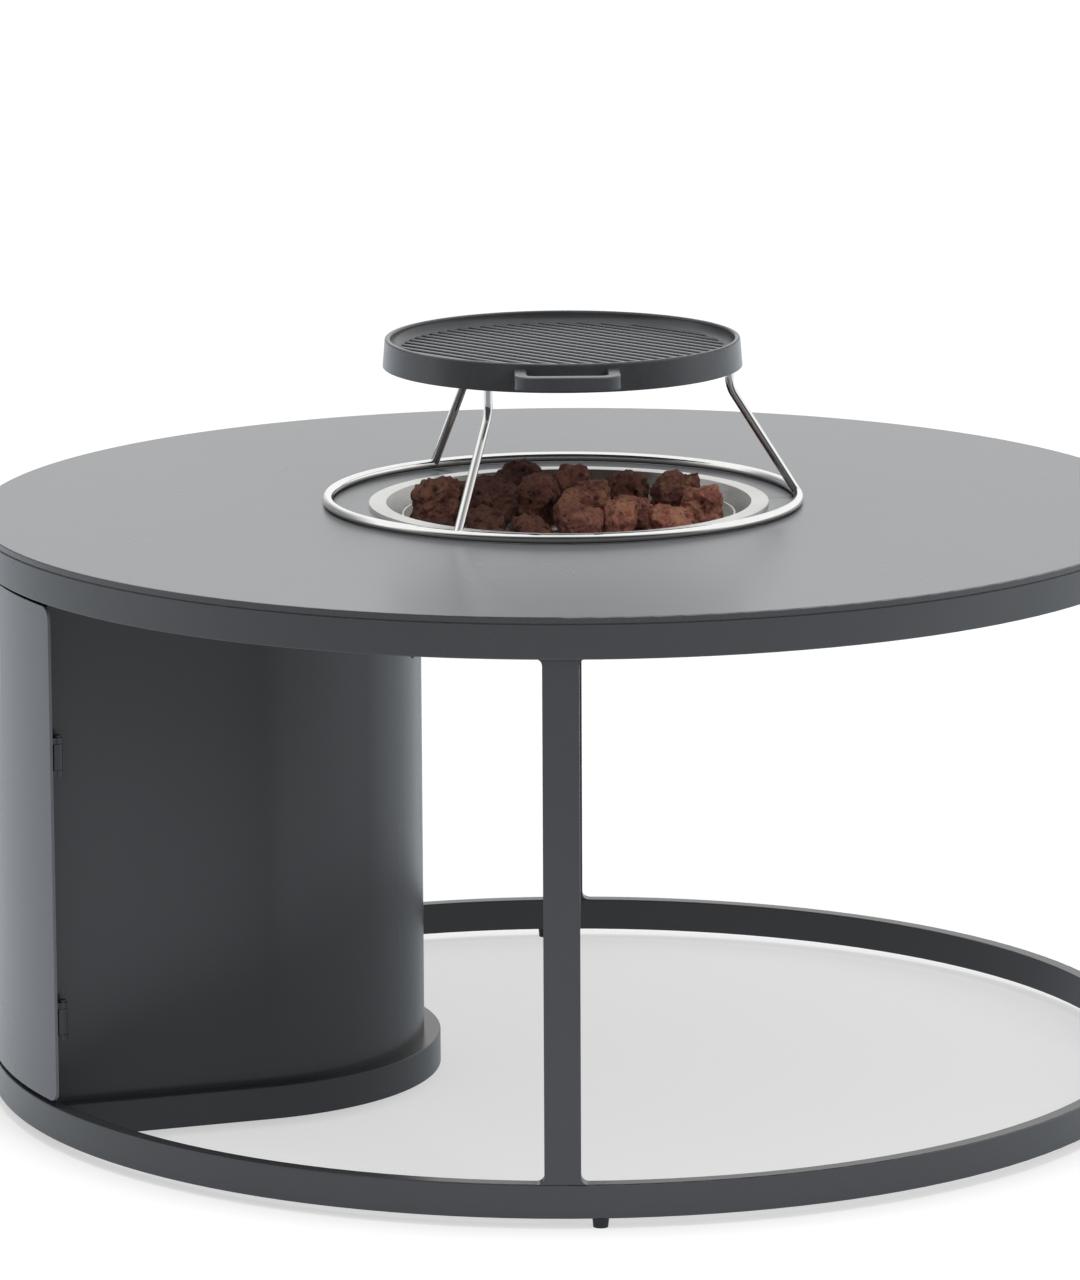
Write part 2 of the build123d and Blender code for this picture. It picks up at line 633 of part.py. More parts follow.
def hinge_leaf(bottom):
    """The moving half of a hinge: a plate on the door's inner face with an eye above and below the block."""
    distance = math.hypot(HINGE_PLACE.X, HINGE_PLACE.Y)
    bearing = math.degrees(math.atan2(HINGE_PLACE.Y, HINGE_PLACE.X))
    place = Pos(HINGE_PLACE.X, HINGE_PLACE.Y, bottom) * Rot(0, 0, bearing)
    low = -HINGE_GAP - HINGE_EYE_HEIGHT
    high = HINGE_BLOCK_HEIGHT + HINGE_GAP
    reach = DOOR_INNER - distance
    half_arm = HINGE_ARM_WIDTH / 2
    span = (low, high + HINGE_EYE_HEIGHT)
    body = place * block((0, reach + SHEET), (HINGE_LEAF_NEAR - HINGE_LEAF_WIDTH, HINGE_LEAF_NEAR), span)
    body = body & ring(DOOR_INNER - LOOSE_CLEARANCE, DOOR_INNER - SHEET, bottom + low, span[1] - span[0])
    for eye_bottom in (low, high):
        eye_top = eye_bottom + HINGE_EYE_HEIGHT
        arm = block((0, reach - SHEET / 2), (-half_arm, half_arm), (eye_bottom, eye_top))
        body += place * (arm + upright(HINGE_EYE_RADIUS, eye_bottom, HINGE_EYE_HEIGHT))
    return body - place * upright(HINGE_PIN_RADIUS + RUNNING_CLEARANCE, low, span[1] - span[0])


def magnet_catch():
    """A magnet block on the inner face of the far wall, close behind the door."""
    half = CATCH_LENGTH / 2
    along = wall_run()
    body = block((-CATCH_DEPTH, CATCH_DEPTH), (-SHEET - CATCH_THICKNESS, -SHEET), (-half, half))
    body = beside_wall(along, 0, CATCH_HEIGHT) * body
    return far_side(body & upright(WALL_FRONT_RADIUS, CATCH_HEIGHT - half, CATCH_LENGTH))


def door_striker():
    """A steel stop on the door's inner face that meets the magnet."""
    half = STRIKER_LENGTH / 2
    half_width = STRIKER_WIDTH / 2
    middle = -SHEET - CATCH_THICKNESS / 2
    body = block((-CATCH_DEPTH, CATCH_DEPTH), (middle - half_width, middle + half_width), (-half, half))
    body = beside_wall(wall_run(), 0, CATCH_HEIGHT) * body
    inner = WALL_FRONT_RADIUS + LOOSE_CLEARANCE
    return far_side(body & ring(DOOR_INNER, inner, CATCH_HEIGHT - half, STRIKER_LENGTH))


def door():
    nodes["door_panel"] = door_panel()
    for level, bottom in HINGE_HEIGHTS.items():
        nodes["hinge_block_" + level] = hinge_block(bottom)
        nodes["hinge_pin_" + level] = hinge_pin(bottom)
        nodes["hinge_leaf_" + level] = hinge_leaf(bottom)
    nodes["magnet_catch"] = magnet_catch()
    nodes["door_striker"] = door_striker()


# Burner bowl, lava tray and ring burner
def probe_places():
    return on_circle(PROBE_CIRCLE, ELECTRODE_ANGLE), on_circle(PROBE_CIRCLE, THERMOCOUPLE_ANGLE)


def burner_bowl():
    bowl = turned([
        (STEM_RADIUS + LOOSE_CLEARANCE, BOWL_UNDERSIDE),
        (BOWL_BOTTOM_RADIUS + BOWL_SHEET, BOWL_UNDERSIDE),
        (BOWL_MOUTH_RADIUS + BOWL_SHEET, FLANGE_TOP - BOWL_SHEET),
        (FLANGE_RADIUS - BOWL_SHEET, FLANGE_TOP - BOWL_SHEET),
        (FLANGE_RADIUS - BOWL_SHEET, TABLE_HEIGHT),
        (FLANGE_RADIUS, TABLE_HEIGHT),
        (FLANGE_RADIUS, FLANGE_TOP),
        (BOWL_MOUTH_RADIUS, FLANGE_TOP),
        (BOWL_BOTTOM_RADIUS, BOWL_FLOOR),
        (STEM_RADIUS + LOOSE_CLEARANCE, BOWL_FLOOR),
    ])
    for radius, (x, y) in zip((ELECTRODE_RADIUS, THERMOCOUPLE_RADIUS), probe_places()):
        bowl -= upright(radius + THREAD_CLEARANCE, BOWL_UNDERSIDE, BOWL_SHEET, x, y)
    return bowl


def lava_tray():
    tray = turned([
        (0, TRAY_UNDERSIDE),
        (TRAY_RADIUS, TRAY_UNDERSIDE),
        (TRAY_RADIUS, TRAY_RIM_TOP),
        (TRAY_RADIUS - BOWL_SHEET, TRAY_RIM_TOP),
        (TRAY_RADIUS - BOWL_SHEET, TRAY_FLOOR),
        (0, TRAY_FLOOR),
    ])
    holes = []
    for radius in TRAY_HOLE_CIRCLES:
        count = round(2 * math.pi * radius / TRAY_HOLE_PITCH)
        for step in range(count):
            x, y = on_circle(radius, (step + 0.5) * 360 / count)
            holes.append(upright(TRAY_HOLE_RADIUS, TRAY_UNDERSIDE, BOWL_SHEET, x, y))
    return tray - holes


def tray_posts():
    posts = []
    for step in range(TRAY_POST_COUNT):
        x, y = on_circle(TRAY_POST_CIRCLE, step * 360 / TRAY_POST_COUNT)
        posts.append(upright(TRAY_POST_RADIUS, BOWL_FLOOR, TRAY_UNDERSIDE - BOWL_FLOOR, x, y))
    return gather(posts)


def burner_form(shrink):
    """The ring burner's outside, or with the wall taken off all round, its inside."""
    form = Pos(0, 0, BURNER_HEIGHT) * Torus(BURNER_RADIUS, BURNER_TUBE_RADIUS - shrink)
    spoke = Cylinder(SPOKE_RADIUS - shrink, 2 * BURNER_RADIUS)
    form += Pos(0, 0, BURNER_HEIGHT) * Rot(90, 0, 0) * spoke
    hub_half = BURNER_TUBE_RADIUS - shrink
    form += upright(HUB_RADIUS - shrink, BURNER_HEIGHT - hub_half, 2 * hub_half)
    stem_bottom = FEED_HEIGHT + ELBOW_RADIUS
    return form + upright(STEM_RADIUS - shrink, stem_bottom, BURNER_HEIGHT - stem_bottom)


def ring_burner():
    ports = []
    for step in range(BURNER_PORT_COUNT):
        x, y = on_circle(BURNER_RADIUS, (step + 0.5) * 360 / BURNER_PORT_COUNT)
        ports.append(upright(BURNER_PORT_RADIUS, BURNER_HEIGHT, 2 * BURNER_TUBE_RADIUS, x, y))
    return burner_form(0) - burner_form(BURNER_TUBE_WALL) - ports


def burner_nut():
    nut = hexagon(BURNER_NUT_FLATS, BURNER_NUT_HEIGHT)
    nut -= upright(STEM_RADIUS + THREAD_CLEARANCE, 0, BURNER_NUT_HEIGHT)
    return Pos(0, 0, BOWL_UNDERSIDE - BURNER_NUT_HEIGHT) * nut


def toward_feed():
    """A place under the bowl whose local x runs from the burner's stem towards the gas pipe."""
    bearing = math.degrees(math.atan2(FEED_SIDE, PIPE_TURN_X))
    return Pos(0, 0, FEED_HEIGHT) * Rot(0, 0, bearing)


def burner_elbow():
    """The elbow that turns the mixture up into the burner's stem."""
    bore = MIXER_RADIUS - MIXER_WALL
    socket_bottom = FEED_HEIGHT + ELBOW_RADIUS
    body = upright(ELBOW_RADIUS, FEED_HEIGHT - ELBOW_RADIUS, 2 * ELBOW_RADIUS + ELBOW_SOCKET)
    body += toward_feed() * lying(ELBOW_RADIUS, 0, MIXER_START, 0, 0)
    body -= upright(STEM_RADIUS + THREAD_CLEARANCE, socket_bottom, ELBOW_SOCKET)
    body -= upright(STEM_RADIUS - BURNER_TUBE_WALL, FEED_HEIGHT, ELBOW_RADIUS)
    return body - toward_feed() * lying(STEM_RADIUS - BURNER_TUBE_WALL, 0, bore + MIXER_START, 0, 0)


def mixer_tube():
    """The tube in which the gas takes in air through slots in its side."""
    length = MIXER_END - MIXER_START
    body = lying(MIXER_RADIUS, MIXER_START, length, 0, 0)
    body -= lying(MIXER_RADIUS - MIXER_WALL, MIXER_START, length - MIXER_WALL, 0, 0)
    body -= lying(JET_RADIUS + THREAD_CLEARANCE, MIXER_START, length, 0, 0)
    slot_end = MIXER_END - 2 * MIXER_WALL
    half = AIR_SLOT_WIDTH / 2
    body -= block((slot_end - AIR_SLOT_LENGTH, slot_end), (-half, half), (-MIXER_RADIUS, MIXER_RADIUS))
    body -= block((slot_end - AIR_SLOT_LENGTH, slot_end), (-MIXER_RADIUS, MIXER_RADIUS), (-half, half))
    return toward_feed() * body


def gas_jet():
    body = lying(JET_RADIUS, MIXER_END - JET_NOSE, JET_NOSE, 0, 0)
    body += Pos(MIXER_END, 0, 0) * facing_x(hexagon(JET_FLATS, JET_HEX))
    body -= lying(JET_ORIFICE_RADIUS, MIXER_END - JET_NOSE, JET_NOSE + JET_HEX, 0, 0)
    return toward_feed() * body


def gas_pipe():
    """The rigid pipe from the valve through the housing wall to the jet."""
    start = (PANEL_X + VALVE_LENGTH, FEED_SIDE, FEED_HEIGHT)
    corner = (PIPE_TURN_X, FEED_SIDE, FEED_HEIGHT)
    end = (toward_feed() * Pos(MIXER_END + JET_HEX, 0, 0)).position
    path = FilletPolyline(start, corner, end, radius=PIPE_BEND)
    return tube(path, PIPE_RADIUS) - tube(path, PIPE_RADIUS - PIPE_WALL)


def burner():
    nodes["burner_bowl"] = burner_bowl()
    nodes["lava_tray"] = lava_tray()
    nodes["tray_posts"] = tray_posts()
    nodes["ring_burner"] = ring_burner()
    nodes["burner_nut"] = burner_nut()
    nodes["burner_elbow"] = burner_elbow()
    nodes["mixer_tube"] = mixer_tube()
    nodes["gas_jet"] = gas_jet()
    nodes["gas_pipe"] = gas_pipe()


# Lava rocks
def lava_rock(*shares, turn):
    """An angular stone that lies on the tray: a box with its corners cut off by two tilted boxes."""
    x, y, width, depth, height = [TRAY_RADIUS * share for share in shares]
    size = (ROCK_SHRINK * width, ROCK_SHRINK * depth, height)
    stone = Box(*size)
    for tilt in ROCK_TILTS:
        stone = stone & Rot(*tilt) * Box(*[ROCK_CUT * side for side in size])
    lift = TRAY_FLOOR - stone.bounding_box().min.Z
    return Pos(x, y, lift) * Rot(0, 0, turn) * stone


def lava_rocks():
    return gather([lava_rock(*shares, turn=turn) for *shares, turn in ROCKS])


# Valve, knob and control panel
def control_panel():
    """A sheet that hangs from the tabletop inside the housing, behind the door."""
    width = (-PANEL_HALF_WIDTH, PANEL_HALF_WIDTH)
    panel = block((PANEL_FRONT, PANEL_X), width, (PANEL_BOTTOM, TOP_UNDERSIDE))
    panel += block((PANEL_FRONT, PANEL_X + PANEL_FLANGE), width, (TOP_UNDERSIDE - SHEET, TOP_UNDERSIDE))
    panel -= lying(NECK_RADIUS + THREAD_CLEARANCE, PANEL_FRONT, SHEET, FEED_SIDE, FEED_HEIGHT)
    panel -= lying(IGNITER_RADIUS + THREAD_CLEARANCE, PANEL_FRONT, SHEET, IGNITER_SIDE, FEED_HEIGHT)
    for x, y in PANEL_SCREWS:
        panel -= screw_hole(x, y, TOP_UNDERSIDE - SHEET, SHEET)
    return panel


def panel_screws():
    return gather([screw(x, y, TOP_UNDERSIDE - SHEET, SHEET + SCREW_BITE) for x, y in PANEL_SCREWS])


def gas_valve():
    """The valve body behind the panel, with a neck through it for the spindle."""
    half = VALVE_SIZE / 2
    body = block((PANEL_X, PANEL_X + VALVE_LENGTH), (FEED_SIDE - half, FEED_SIDE + half),
                 (FEED_HEIGHT - half, FEED_HEIGHT + half))
    body = fillet(body.edges().filter_by(Axis.X), 4 * EDGE_ROUND)
    body += lying(NECK_RADIUS, PANEL_X - NECK_LENGTH, NECK_LENGTH, FEED_SIDE, FEED_HEIGHT)
    bore_radius = SPINDLE_RADIUS + RUNNING_CLEARANCE
    bore_length = NECK_LENGTH + SPINDLE_INSIDE + 2 * SPINDLE_TRAVEL
    body -= lying(bore_radius, PANEL_X - NECK_LENGTH, bore_length, FEED_SIDE, FEED_HEIGHT)
    body -= lying(PIPE_RADIUS - PIPE_WALL, PANEL_X, VALVE_LENGTH, FEED_SIDE, FEED_HEIGHT)
    return body - upright(NOZZLE_BORE_RADIUS, FEED_HEIGHT - half, half, NOZZLE_X, FEED_SIDE)


def valve_nut():
    nut = hexagon(VALVE_NUT_FLATS, VALVE_NUT_THICKNESS)
    nut -= upright(NECK_RADIUS + THREAD_CLEARANCE, 0, VALVE_NUT_THICKNESS)
    return Pos(PANEL_FRONT - VALVE_NUT_THICKNESS, FEED_SIDE, FEED_HEIGHT) * facing_x(nut)


def valve_spindle():
    start = PANEL_X - SPINDLE_OUTSIDE
    return lying(SPINDLE_RADIUS, start, SPINDLE_OUTSIDE + SPINDLE_INSIDE, FEED_SIDE, FEED_HEIGHT)


def control_knob():
    """A round knob on the spindle, with a skirt and a pointer ridge on its face."""
    back = PANEL_X - NECK_LENGTH - KNOB_GAP
    front = back - KNOB_LENGTH
    knob = lying(KNOB_GRIP_RADIUS, front, KNOB_LENGTH, FEED_SIDE, FEED_HEIGHT)
    knob = fillet(circle_edges(knob).sort_by(Axis.X)[0], 2 * EDGE_ROUND)
    knob += lying(KNOB_RADIUS, back - KNOB_SKIRT, KNOB_SKIRT, FEED_SIDE, FEED_HEIGHT)
    half = KNOB_RIDGE_WIDTH / 2
    ridge_depth = (front - KNOB_RIDGE_RISE, front + KNOB_RIDGE_RISE)
    ridge = block(ridge_depth, (-half, half), (0, KNOB_GRIP_RADIUS - half))
    knob += Pos(0, FEED_SIDE, FEED_HEIGHT) * ridge
    bore_start = PANEL_X - SPINDLE_OUTSIDE
    bore_length = back - bore_start
    return knob - lying(SPINDLE_RADIUS + RUNNING_CLEARANCE, bore_start, bore_length, FEED_SIDE, FEED_HEIGHT)


def inlet_nozzle():
    """The hose nozzle under the valve, where the gas comes in."""
    hex_bar = Pos(0, 0, -NOZZLE_HEX) * hexagon(NOZZLE_FLATS, NOZZLE_HEX)
    tail = upright(NOZZLE_RADIUS, -NOZZLE_HEX - NOZZLE_LENGTH, NOZZLE_LENGTH)
    tail = chamfer(circle_edges(tail).sort_by(Axis.Z)[0], EDGE_ROUND)
    length = NOZZLE_HEX + NOZZLE_LENGTH
    body = hex_bar + tail - upright(NOZZLE_BORE_RADIUS, -length, length)
    return Pos(NOZZLE_X, FEED_SIDE, FEED_HEIGHT - VALVE_SIZE / 2) * body


def controls():
    nodes["control_panel"] = control_panel()
    nodes["panel_screws"] = panel_screws()
    nodes["gas_valve"] = gas_valve()
    nodes["valve_nut"] = valve_nut()
    nodes["valve_spindle"] = valve_spindle()
    nodes["control_knob"] = control_knob()
    nodes["inlet_nozzle"] = inlet_nozzle()


# Igniter, electrode and thermocouple
def igniter_body():
    front = PANEL_FRONT - IGNITER_FLANGE
    body = lying(IGNITER_RADIUS, PANEL_FRONT, IGNITER_LENGTH, IGNITER_SIDE, FEED_HEIGHT)
    body += lying(IGNITER_FLANGE_RADIUS, front, IGNITER_FLANGE, IGNITER_SIDE, FEED_HEIGHT)
    bore_length = IGNITER_FLANGE + BUTTON_INSIDE + 2 * BUTTON_TRAVEL
    return body - lying(BUTTON_RADIUS + RUNNING_CLEARANCE, front, bore_length, IGNITER_SIDE, FEED_HEIGHT)


def igniter_nut():
    nut = hexagon(IGNITER_NUT_FLATS, IGNITER_NUT_THICKNESS)
    nut -= upright(IGNITER_RADIUS + THREAD_CLEARANCE, 0, IGNITER_NUT_THICKNESS)
    return Pos(PANEL_X, IGNITER_SIDE, FEED_HEIGHT) * facing_x(nut)


def igniter_button():
    front = PANEL_FRONT - IGNITER_FLANGE - BUTTON_OUTSIDE
    length = BUTTON_OUTSIDE + IGNITER_FLANGE + BUTTON_INSIDE
    button = lying(BUTTON_RADIUS, front, length, IGNITER_SIDE, FEED_HEIGHT)
    return fillet(circle_edges(button).sort_by(Axis.X)[0], EDGE_ROUND)


def probe_bracket():
    """A small plate on the bowl's floor that holds both probes upright."""
    half_length = PROBE_PLATE_LENGTH / 2
    half_width = PROBE_PLATE_WIDTH / 2
    middle = (ELECTRODE_ANGLE + THERMOCOUPLE_ANGLE) / 2
    plate = block((-half_width, half_width), (-half_length, half_length), (0, SHEET))
    plate = Rot(0, 0, middle) * Pos(PROBE_CIRCLE, 0, BOWL_FLOOR) * plate
    for radius, (x, y) in zip((ELECTRODE_RADIUS, THERMOCOUPLE_RADIUS), probe_places()):
        plate -= upright(radius + THREAD_CLEARANCE, BOWL_FLOOR, SHEET, x, y)
    return plate


def spark_electrode():
    x, y = probe_places()[0]
    low = BOWL_UNDERSIDE - PROBE_BELOW
    high = BOWL_FLOOR + PROBE_RISE
    body = upright(ELECTRODE_RADIUS, low, high - low, x, y)
    return body + upright(ELECTRODE_TIP_RADIUS, high, ELECTRODE_TIP, x, y)


def thermocouple():
    x, y = probe_places()[1]
    low = BOWL_UNDERSIDE - PROBE_BELOW
    probe = upright(THERMOCOUPLE_RADIUS, low, BOWL_FLOOR + PROBE_RISE + ELECTRODE_TIP - low, x, y)
    return fillet(circle_edges(probe).sort_by(Axis.Z)[-1], THERMOCOUPLE_RADIUS - EDGE_ROUND)


def probe_lead(probe, height, tail):
    """The path of a lead: down from a probe, across under the bowl and through the wall to its tail."""
    x, y = probe
    low = BOWL_UNDERSIDE - PROBE_BELOW
    return FilletPolyline(
        (x, y, low),
        (x, y, low - LEAD_DROP),
        (LEAD_TURN_X, IGNITER_SIDE, height),
        *tail,
        radius=LEAD_BEND,
    )


def ignition_lead():
    back = PANEL_FRONT + IGNITER_LENGTH
    path = probe_lead(probe_places()[0], FEED_HEIGHT, [(back, IGNITER_SIDE, FEED_HEIGHT)])
    return tube(path, IGNITION_LEAD_RADIUS)


def thermocouple_lead():
    height = FEED_HEIGHT + THERMOCOUPLE_LEAD_RISE
    tail = [(NOZZLE_X, IGNITER_SIDE, height), (NOZZLE_X, FEED_SIDE + VALVE_SIZE / 2, height)]
    return tube(probe_lead(probe_places()[1], height, tail), THERMOCOUPLE_LEAD_RADIUS)


def ignition():
    nodes["igniter_body"] = igniter_body()
    nodes["igniter_nut"] = igniter_nut()
    nodes["igniter_button"] = igniter_button()
    nodes["probe_bracket"] = probe_bracket()
    nodes["spark_electrode"] = spark_electrode()
    nodes["ignition_lead"] = ignition_lead()
    nodes["thermocouple"] = thermocouple()
    nodes["thermocouple_lead"] = thermocouple_lead()


# Wire stand
def stand_ring():
    return Pos(STAND_X, STAND_Y, STAND_RING_HEIGHT) * Torus(STAND_RING_RADIUS, STAND_WIRE_RADIUS)


def stand_top_ring():
    return Pos(STAND_X, STAND_Y, STAND_TOP_HEIGHT) * Torus(STAND_TOP_RADIUS, STAND_TOP_WIRE_RADIUS)


def stand_leg(degrees):
    """A bent wire from the base ring, leaning in, then straight up to the upper ring, fitted to both."""
    path = FilletPolyline(
        (STAND_RING_RADIUS, 0, STAND_RING_HEIGHT),
        (STAND_TOP_RADIUS, 0, TABLE_HEIGHT + STAND_BEND_HEIGHT),
        (STAND_TOP_RADIUS, 0, STAND_TOP_HEIGHT),
        radius=STAND_BEND,
    )
    wire = Pos(STAND_X, STAND_Y, 0) * Rot(0, 0, degrees) * tube(path, STAND_LEG_WIRE_RADIUS)
    return wire - stand_ring() - stand_top_ring()


def stand():
    nodes["stand_base_ring"] = stand_ring()
    nodes["stand_top_ring"] = stand_top_ring()
    for name, degrees in STAND_LEG_ANGLES.items():
        nodes[name] = stand_leg(degrees)


# Grill plate
def plate_dish():
    """The dish: a flared wall with a rounded lip, a raised floor and a skirt below it."""
    top_inner = PLATE_TOP_RADIUS - PLATE_LIP
    floor_radius = top_inner - PLATE_DRAFT
    skirt_bottom = PLATE_BOTTOM_RADIUS - PLATE_SKIRT
    floor_under = PLATE_FLOOR_TOP - PLATE_FLOOR
    outline = Polygon(
        (0, PLATE_FLOOR_TOP),
        (0, floor_under),
        (skirt_bottom - PLATE_DRAFT, floor_under),
        (skirt_bottom, 0),
        (PLATE_BOTTOM_RADIUS, 0),
        (PLATE_TOP_RADIUS, PLATE_HEIGHT),
        (top_inner, PLATE_HEIGHT),
        (floor_radius, PLATE_FLOOR_TOP),
        align=None,
    )
    lip = outline.vertices().group_by(Axis.Y)[-1]
    outline = fillet(lip, PLATE_LIP_ROUND)
    corner = outline.vertices().sort_by_distance((floor_radius, PLATE_FLOOR_TOP))[0]
    outline = fillet(corner, PLATE_FLOOR_ROUND)
    return revolve(Plane.XZ * outline, Axis.Z)


def plate_ribs():
    reach = PLATE_TOP_RADIUS - PLATE_LIP - PLATE_FLOOR_ROUND
    count = int(reach / RIB_PITCH)
    bar = Box(2 * reach, RIB_WIDTH, 2 * RIB_HEIGHT)
    bar = fillet(bar.edges().filter_by(Axis.X).group_by(Axis.Z)[-1], RIB_ROUND)
    ribs = Part() + [Pos(0, step * RIB_PITCH, PLATE_FLOOR_TOP) * bar for step in range(-count, count + 1)]
    ribs = ribs & upright(reach, 0, PLATE_HEIGHT)
    return Rot(0, 0, RIB_ANGLE) * ribs


def plate_handle():
    """A cast loop that stands out from the plate's wall."""
    inner_width = HANDLE_WIDTH - 2 * HANDLE_ARM
    root = PLATE_TOP_RADIUS / 2
    outer_end = PLATE_TOP_RADIUS + HANDLE_REACH
    outer = Pos((root + outer_end) / 2, 0) * RectangleRounded(outer_end - root, HANDLE_WIDTH, HANDLE_CORNER)
    gap_end = outer_end - HANDLE_BAR
    gap = Pos((root + gap_end) / 2, 0) * RectangleRounded(gap_end - root, inner_width, HANDLE_INNER_CORNER)
    loop = extrude(outer - gap, HANDLE_THICKNESS)
    loop = fillet(loop.edges().group_by(Axis.Z)[-1] + loop.edges().group_by(Axis.Z)[0], HANDLE_ROUND)
    loop = Pos(0, 0, PLATE_HEIGHT - HANDLE_BELOW_RIM - HANDLE_THICKNESS) * loop
    loop -= upright(PLATE_TOP_RADIUS - PLATE_LIP / 2, 0, PLATE_HEIGHT)
    return Rot(0, 0, HANDLE_ANGLE) * loop


def grill_plate():
    casting = plate_dish() + plate_ribs() + plate_handle()
    return Pos(STAND_X, STAND_Y, PLATE_BOTTOM) * casting


table_frame()
housing()
door()
burner()
controls()
ignition()
stand()
nodes["lava_rocks"] = lava_rocks()
nodes["grill_plate"] = grill_plate()

os.makedirs("parts", exist_ok=True)
for name, shape in nodes.items():
    export_step(shape, "parts/" + name + ".step")
print(len(nodes), "nodes")
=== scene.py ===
import json
import math
import random

import bmesh
import bpy
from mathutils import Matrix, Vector, noise


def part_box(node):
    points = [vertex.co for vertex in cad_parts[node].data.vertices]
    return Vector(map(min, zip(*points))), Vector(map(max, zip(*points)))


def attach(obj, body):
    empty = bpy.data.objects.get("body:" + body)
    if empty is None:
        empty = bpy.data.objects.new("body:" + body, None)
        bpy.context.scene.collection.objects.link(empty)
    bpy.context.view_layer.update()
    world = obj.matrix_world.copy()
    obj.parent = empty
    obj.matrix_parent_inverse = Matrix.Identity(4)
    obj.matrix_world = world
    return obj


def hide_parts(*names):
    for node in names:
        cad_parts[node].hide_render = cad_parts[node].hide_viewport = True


# Round gas fire pit table: finishes, lava stones, studio and camera.
# Metres, +Z up, origin on the floor under the middle of the table, as in the solid model.

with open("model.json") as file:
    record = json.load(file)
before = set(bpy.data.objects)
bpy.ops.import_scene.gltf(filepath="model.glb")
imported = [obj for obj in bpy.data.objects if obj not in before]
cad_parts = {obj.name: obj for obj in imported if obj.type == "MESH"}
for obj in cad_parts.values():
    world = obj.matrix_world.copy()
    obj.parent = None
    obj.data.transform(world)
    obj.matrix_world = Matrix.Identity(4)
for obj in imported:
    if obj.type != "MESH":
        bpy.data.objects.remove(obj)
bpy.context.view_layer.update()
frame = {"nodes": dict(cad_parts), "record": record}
nodes = frame["nodes"]

# Camera, turned in degrees, with its lens and sensor in millimetres
CAMERA_PLACE = (0.0822, -5.8870, 1.5462)
CAMERA_TURN = (78.765, 0.2695, 0.989)
CAMERA_FOCAL_LENGTH = 198.8
CAMERA_SENSOR = 36.0

# Floor: its mirror image is dimmer towards the viewer and in the table's shade
FLOOR_HALF_SIZE = 40.0
FLOOR_COLOUR = (0.80, 0.80, 0.80, 1.0)
FLOOR_SEEN_LEVEL = 0.50
FLOOR_GLOW = 0.55
FLOOR_MIRRORED_COLOUR = (0.88, 0.94, 1.0)
ROOM_FLOOR_LEVEL = 0.32
ROOM_FLOOR_START = -0.7
ROOM_FLOOR_END = -3.0
SHADE_LEVEL = 0.80
SHADE_START = 0.75
SHADE_END = 0.40

# Sky: its mirror image is dim behind the viewer and at the back left
SKY_LEVEL = 0.50
ROOM_SKY_LEVEL = 0.05
ROOM_SKY_START = 0.0
ROOM_SKY_END = 0.6
SIDE_SKY_SHARE = 0.45
LEFT_SKY_LEVEL = 0.25
LEFT_SKY_START = 1.12
LEFT_SKY_END = 1.38

# Lamps
SUN_PLACE = (0.0, 0.0, 4.0)
SUN_TARGET = (0.0, 0.0, 0.0)
SUN_LEVEL = 1.57
SUN_WIDTH = 9.0
FRONT_LAMP_PLACE = (1.8, -3.0, 1.9)
FRONT_LAMP_TARGET = (0.0, 0.0, 0.45)
FRONT_LAMP_SIZE = (1.2, 0.9)
FRONT_LAMP_POWER = 22.0

# Values that several finishes share
COLOUR_MIX_INPUTS = (0, 6, 7)
COLOUR_MIX_OUTPUT = 2
BLACK = (0.0, 0.0, 0.0)
WHITE = (1.0, 1.0, 1.0)
MIDDLE_SPAN = (0.3, 0.7)

# Powder coats: one anthracite coat, whose own colour is the frame's; the housing's darker copy is painted
# shade, and the door's and the tabletop's lighter copies are painted light
FRAME_COLOUR = (0.054, 0.057, 0.062)
TOP_PAINTED_LIGHT_COLOUR = (0.155, 0.162, 0.170)
HOUSING_PAINTED_SHADE_COLOUR = (0.037, 0.039, 0.043)
DOOR_PAINTED_LIGHT_COLOUR = (0.102, 0.110, 0.122)
COAT_TONES = (0.93, 1.07)
COAT_PAINTED_TOP_LIGHT_SPAN = (0.6, 0.95)
COAT_SPECK_TONES = (1.2, 1.3)
COAT_SPECK_SPAN = (0.55, 0.75)
COAT_SPECK_SHARE = 0.2
COAT_ROUGHNESS = 0.27
COAT_GLOSS_SHIFT = 0.012
COAT_CLOUD = 0.12
COAT_GRAIN = 0.0012
COAT_GRAIN_HEIGHT = 0.00001

# Turned steel of the bowl
STEEL_COLOUR = (0.82, 0.82, 0.80)
STEEL_TONES = (0.9, 1.08)
STEEL_BRUSHING = 0.85
STEEL_BRUSH_TURN = 0.25
STEEL_MARK = 0.0006
STEEL_MARKS_PER_RADIAN = 5.0
STEEL_MARK_HEIGHT = 0.000008
STEEL_STAIN = 0.05
STEEL_STAIN_COLOUR = (0.52, 0.46, 0.38)
STEEL_STAIN_SPAN = (0.5, 0.8)
STEEL_STAIN_SHARE = 0.25
STEEL_ROUGHNESS = (0.38, 0.52)

# Polished wire of the stand
WIRE_COLOUR = (0.90, 0.90, 0.89)
WIRE_TONES = (0.93, 1.07)
# Colour of faces that point down: painted shade
WIRE_PAINTED_SHADE_COLOUR = (0.36, 0.33, 0.32)
WIRE_PAINTED_SHADE_SPAN = (-0.30, 0.08)
WIRE_BREATH = 0.02
WIRE_ROUGHNESS = (0.05, 0.10)
WIRE_SCRATCH = 0.0009
WIRE_SCRATCH_HEIGHT = 0.00001

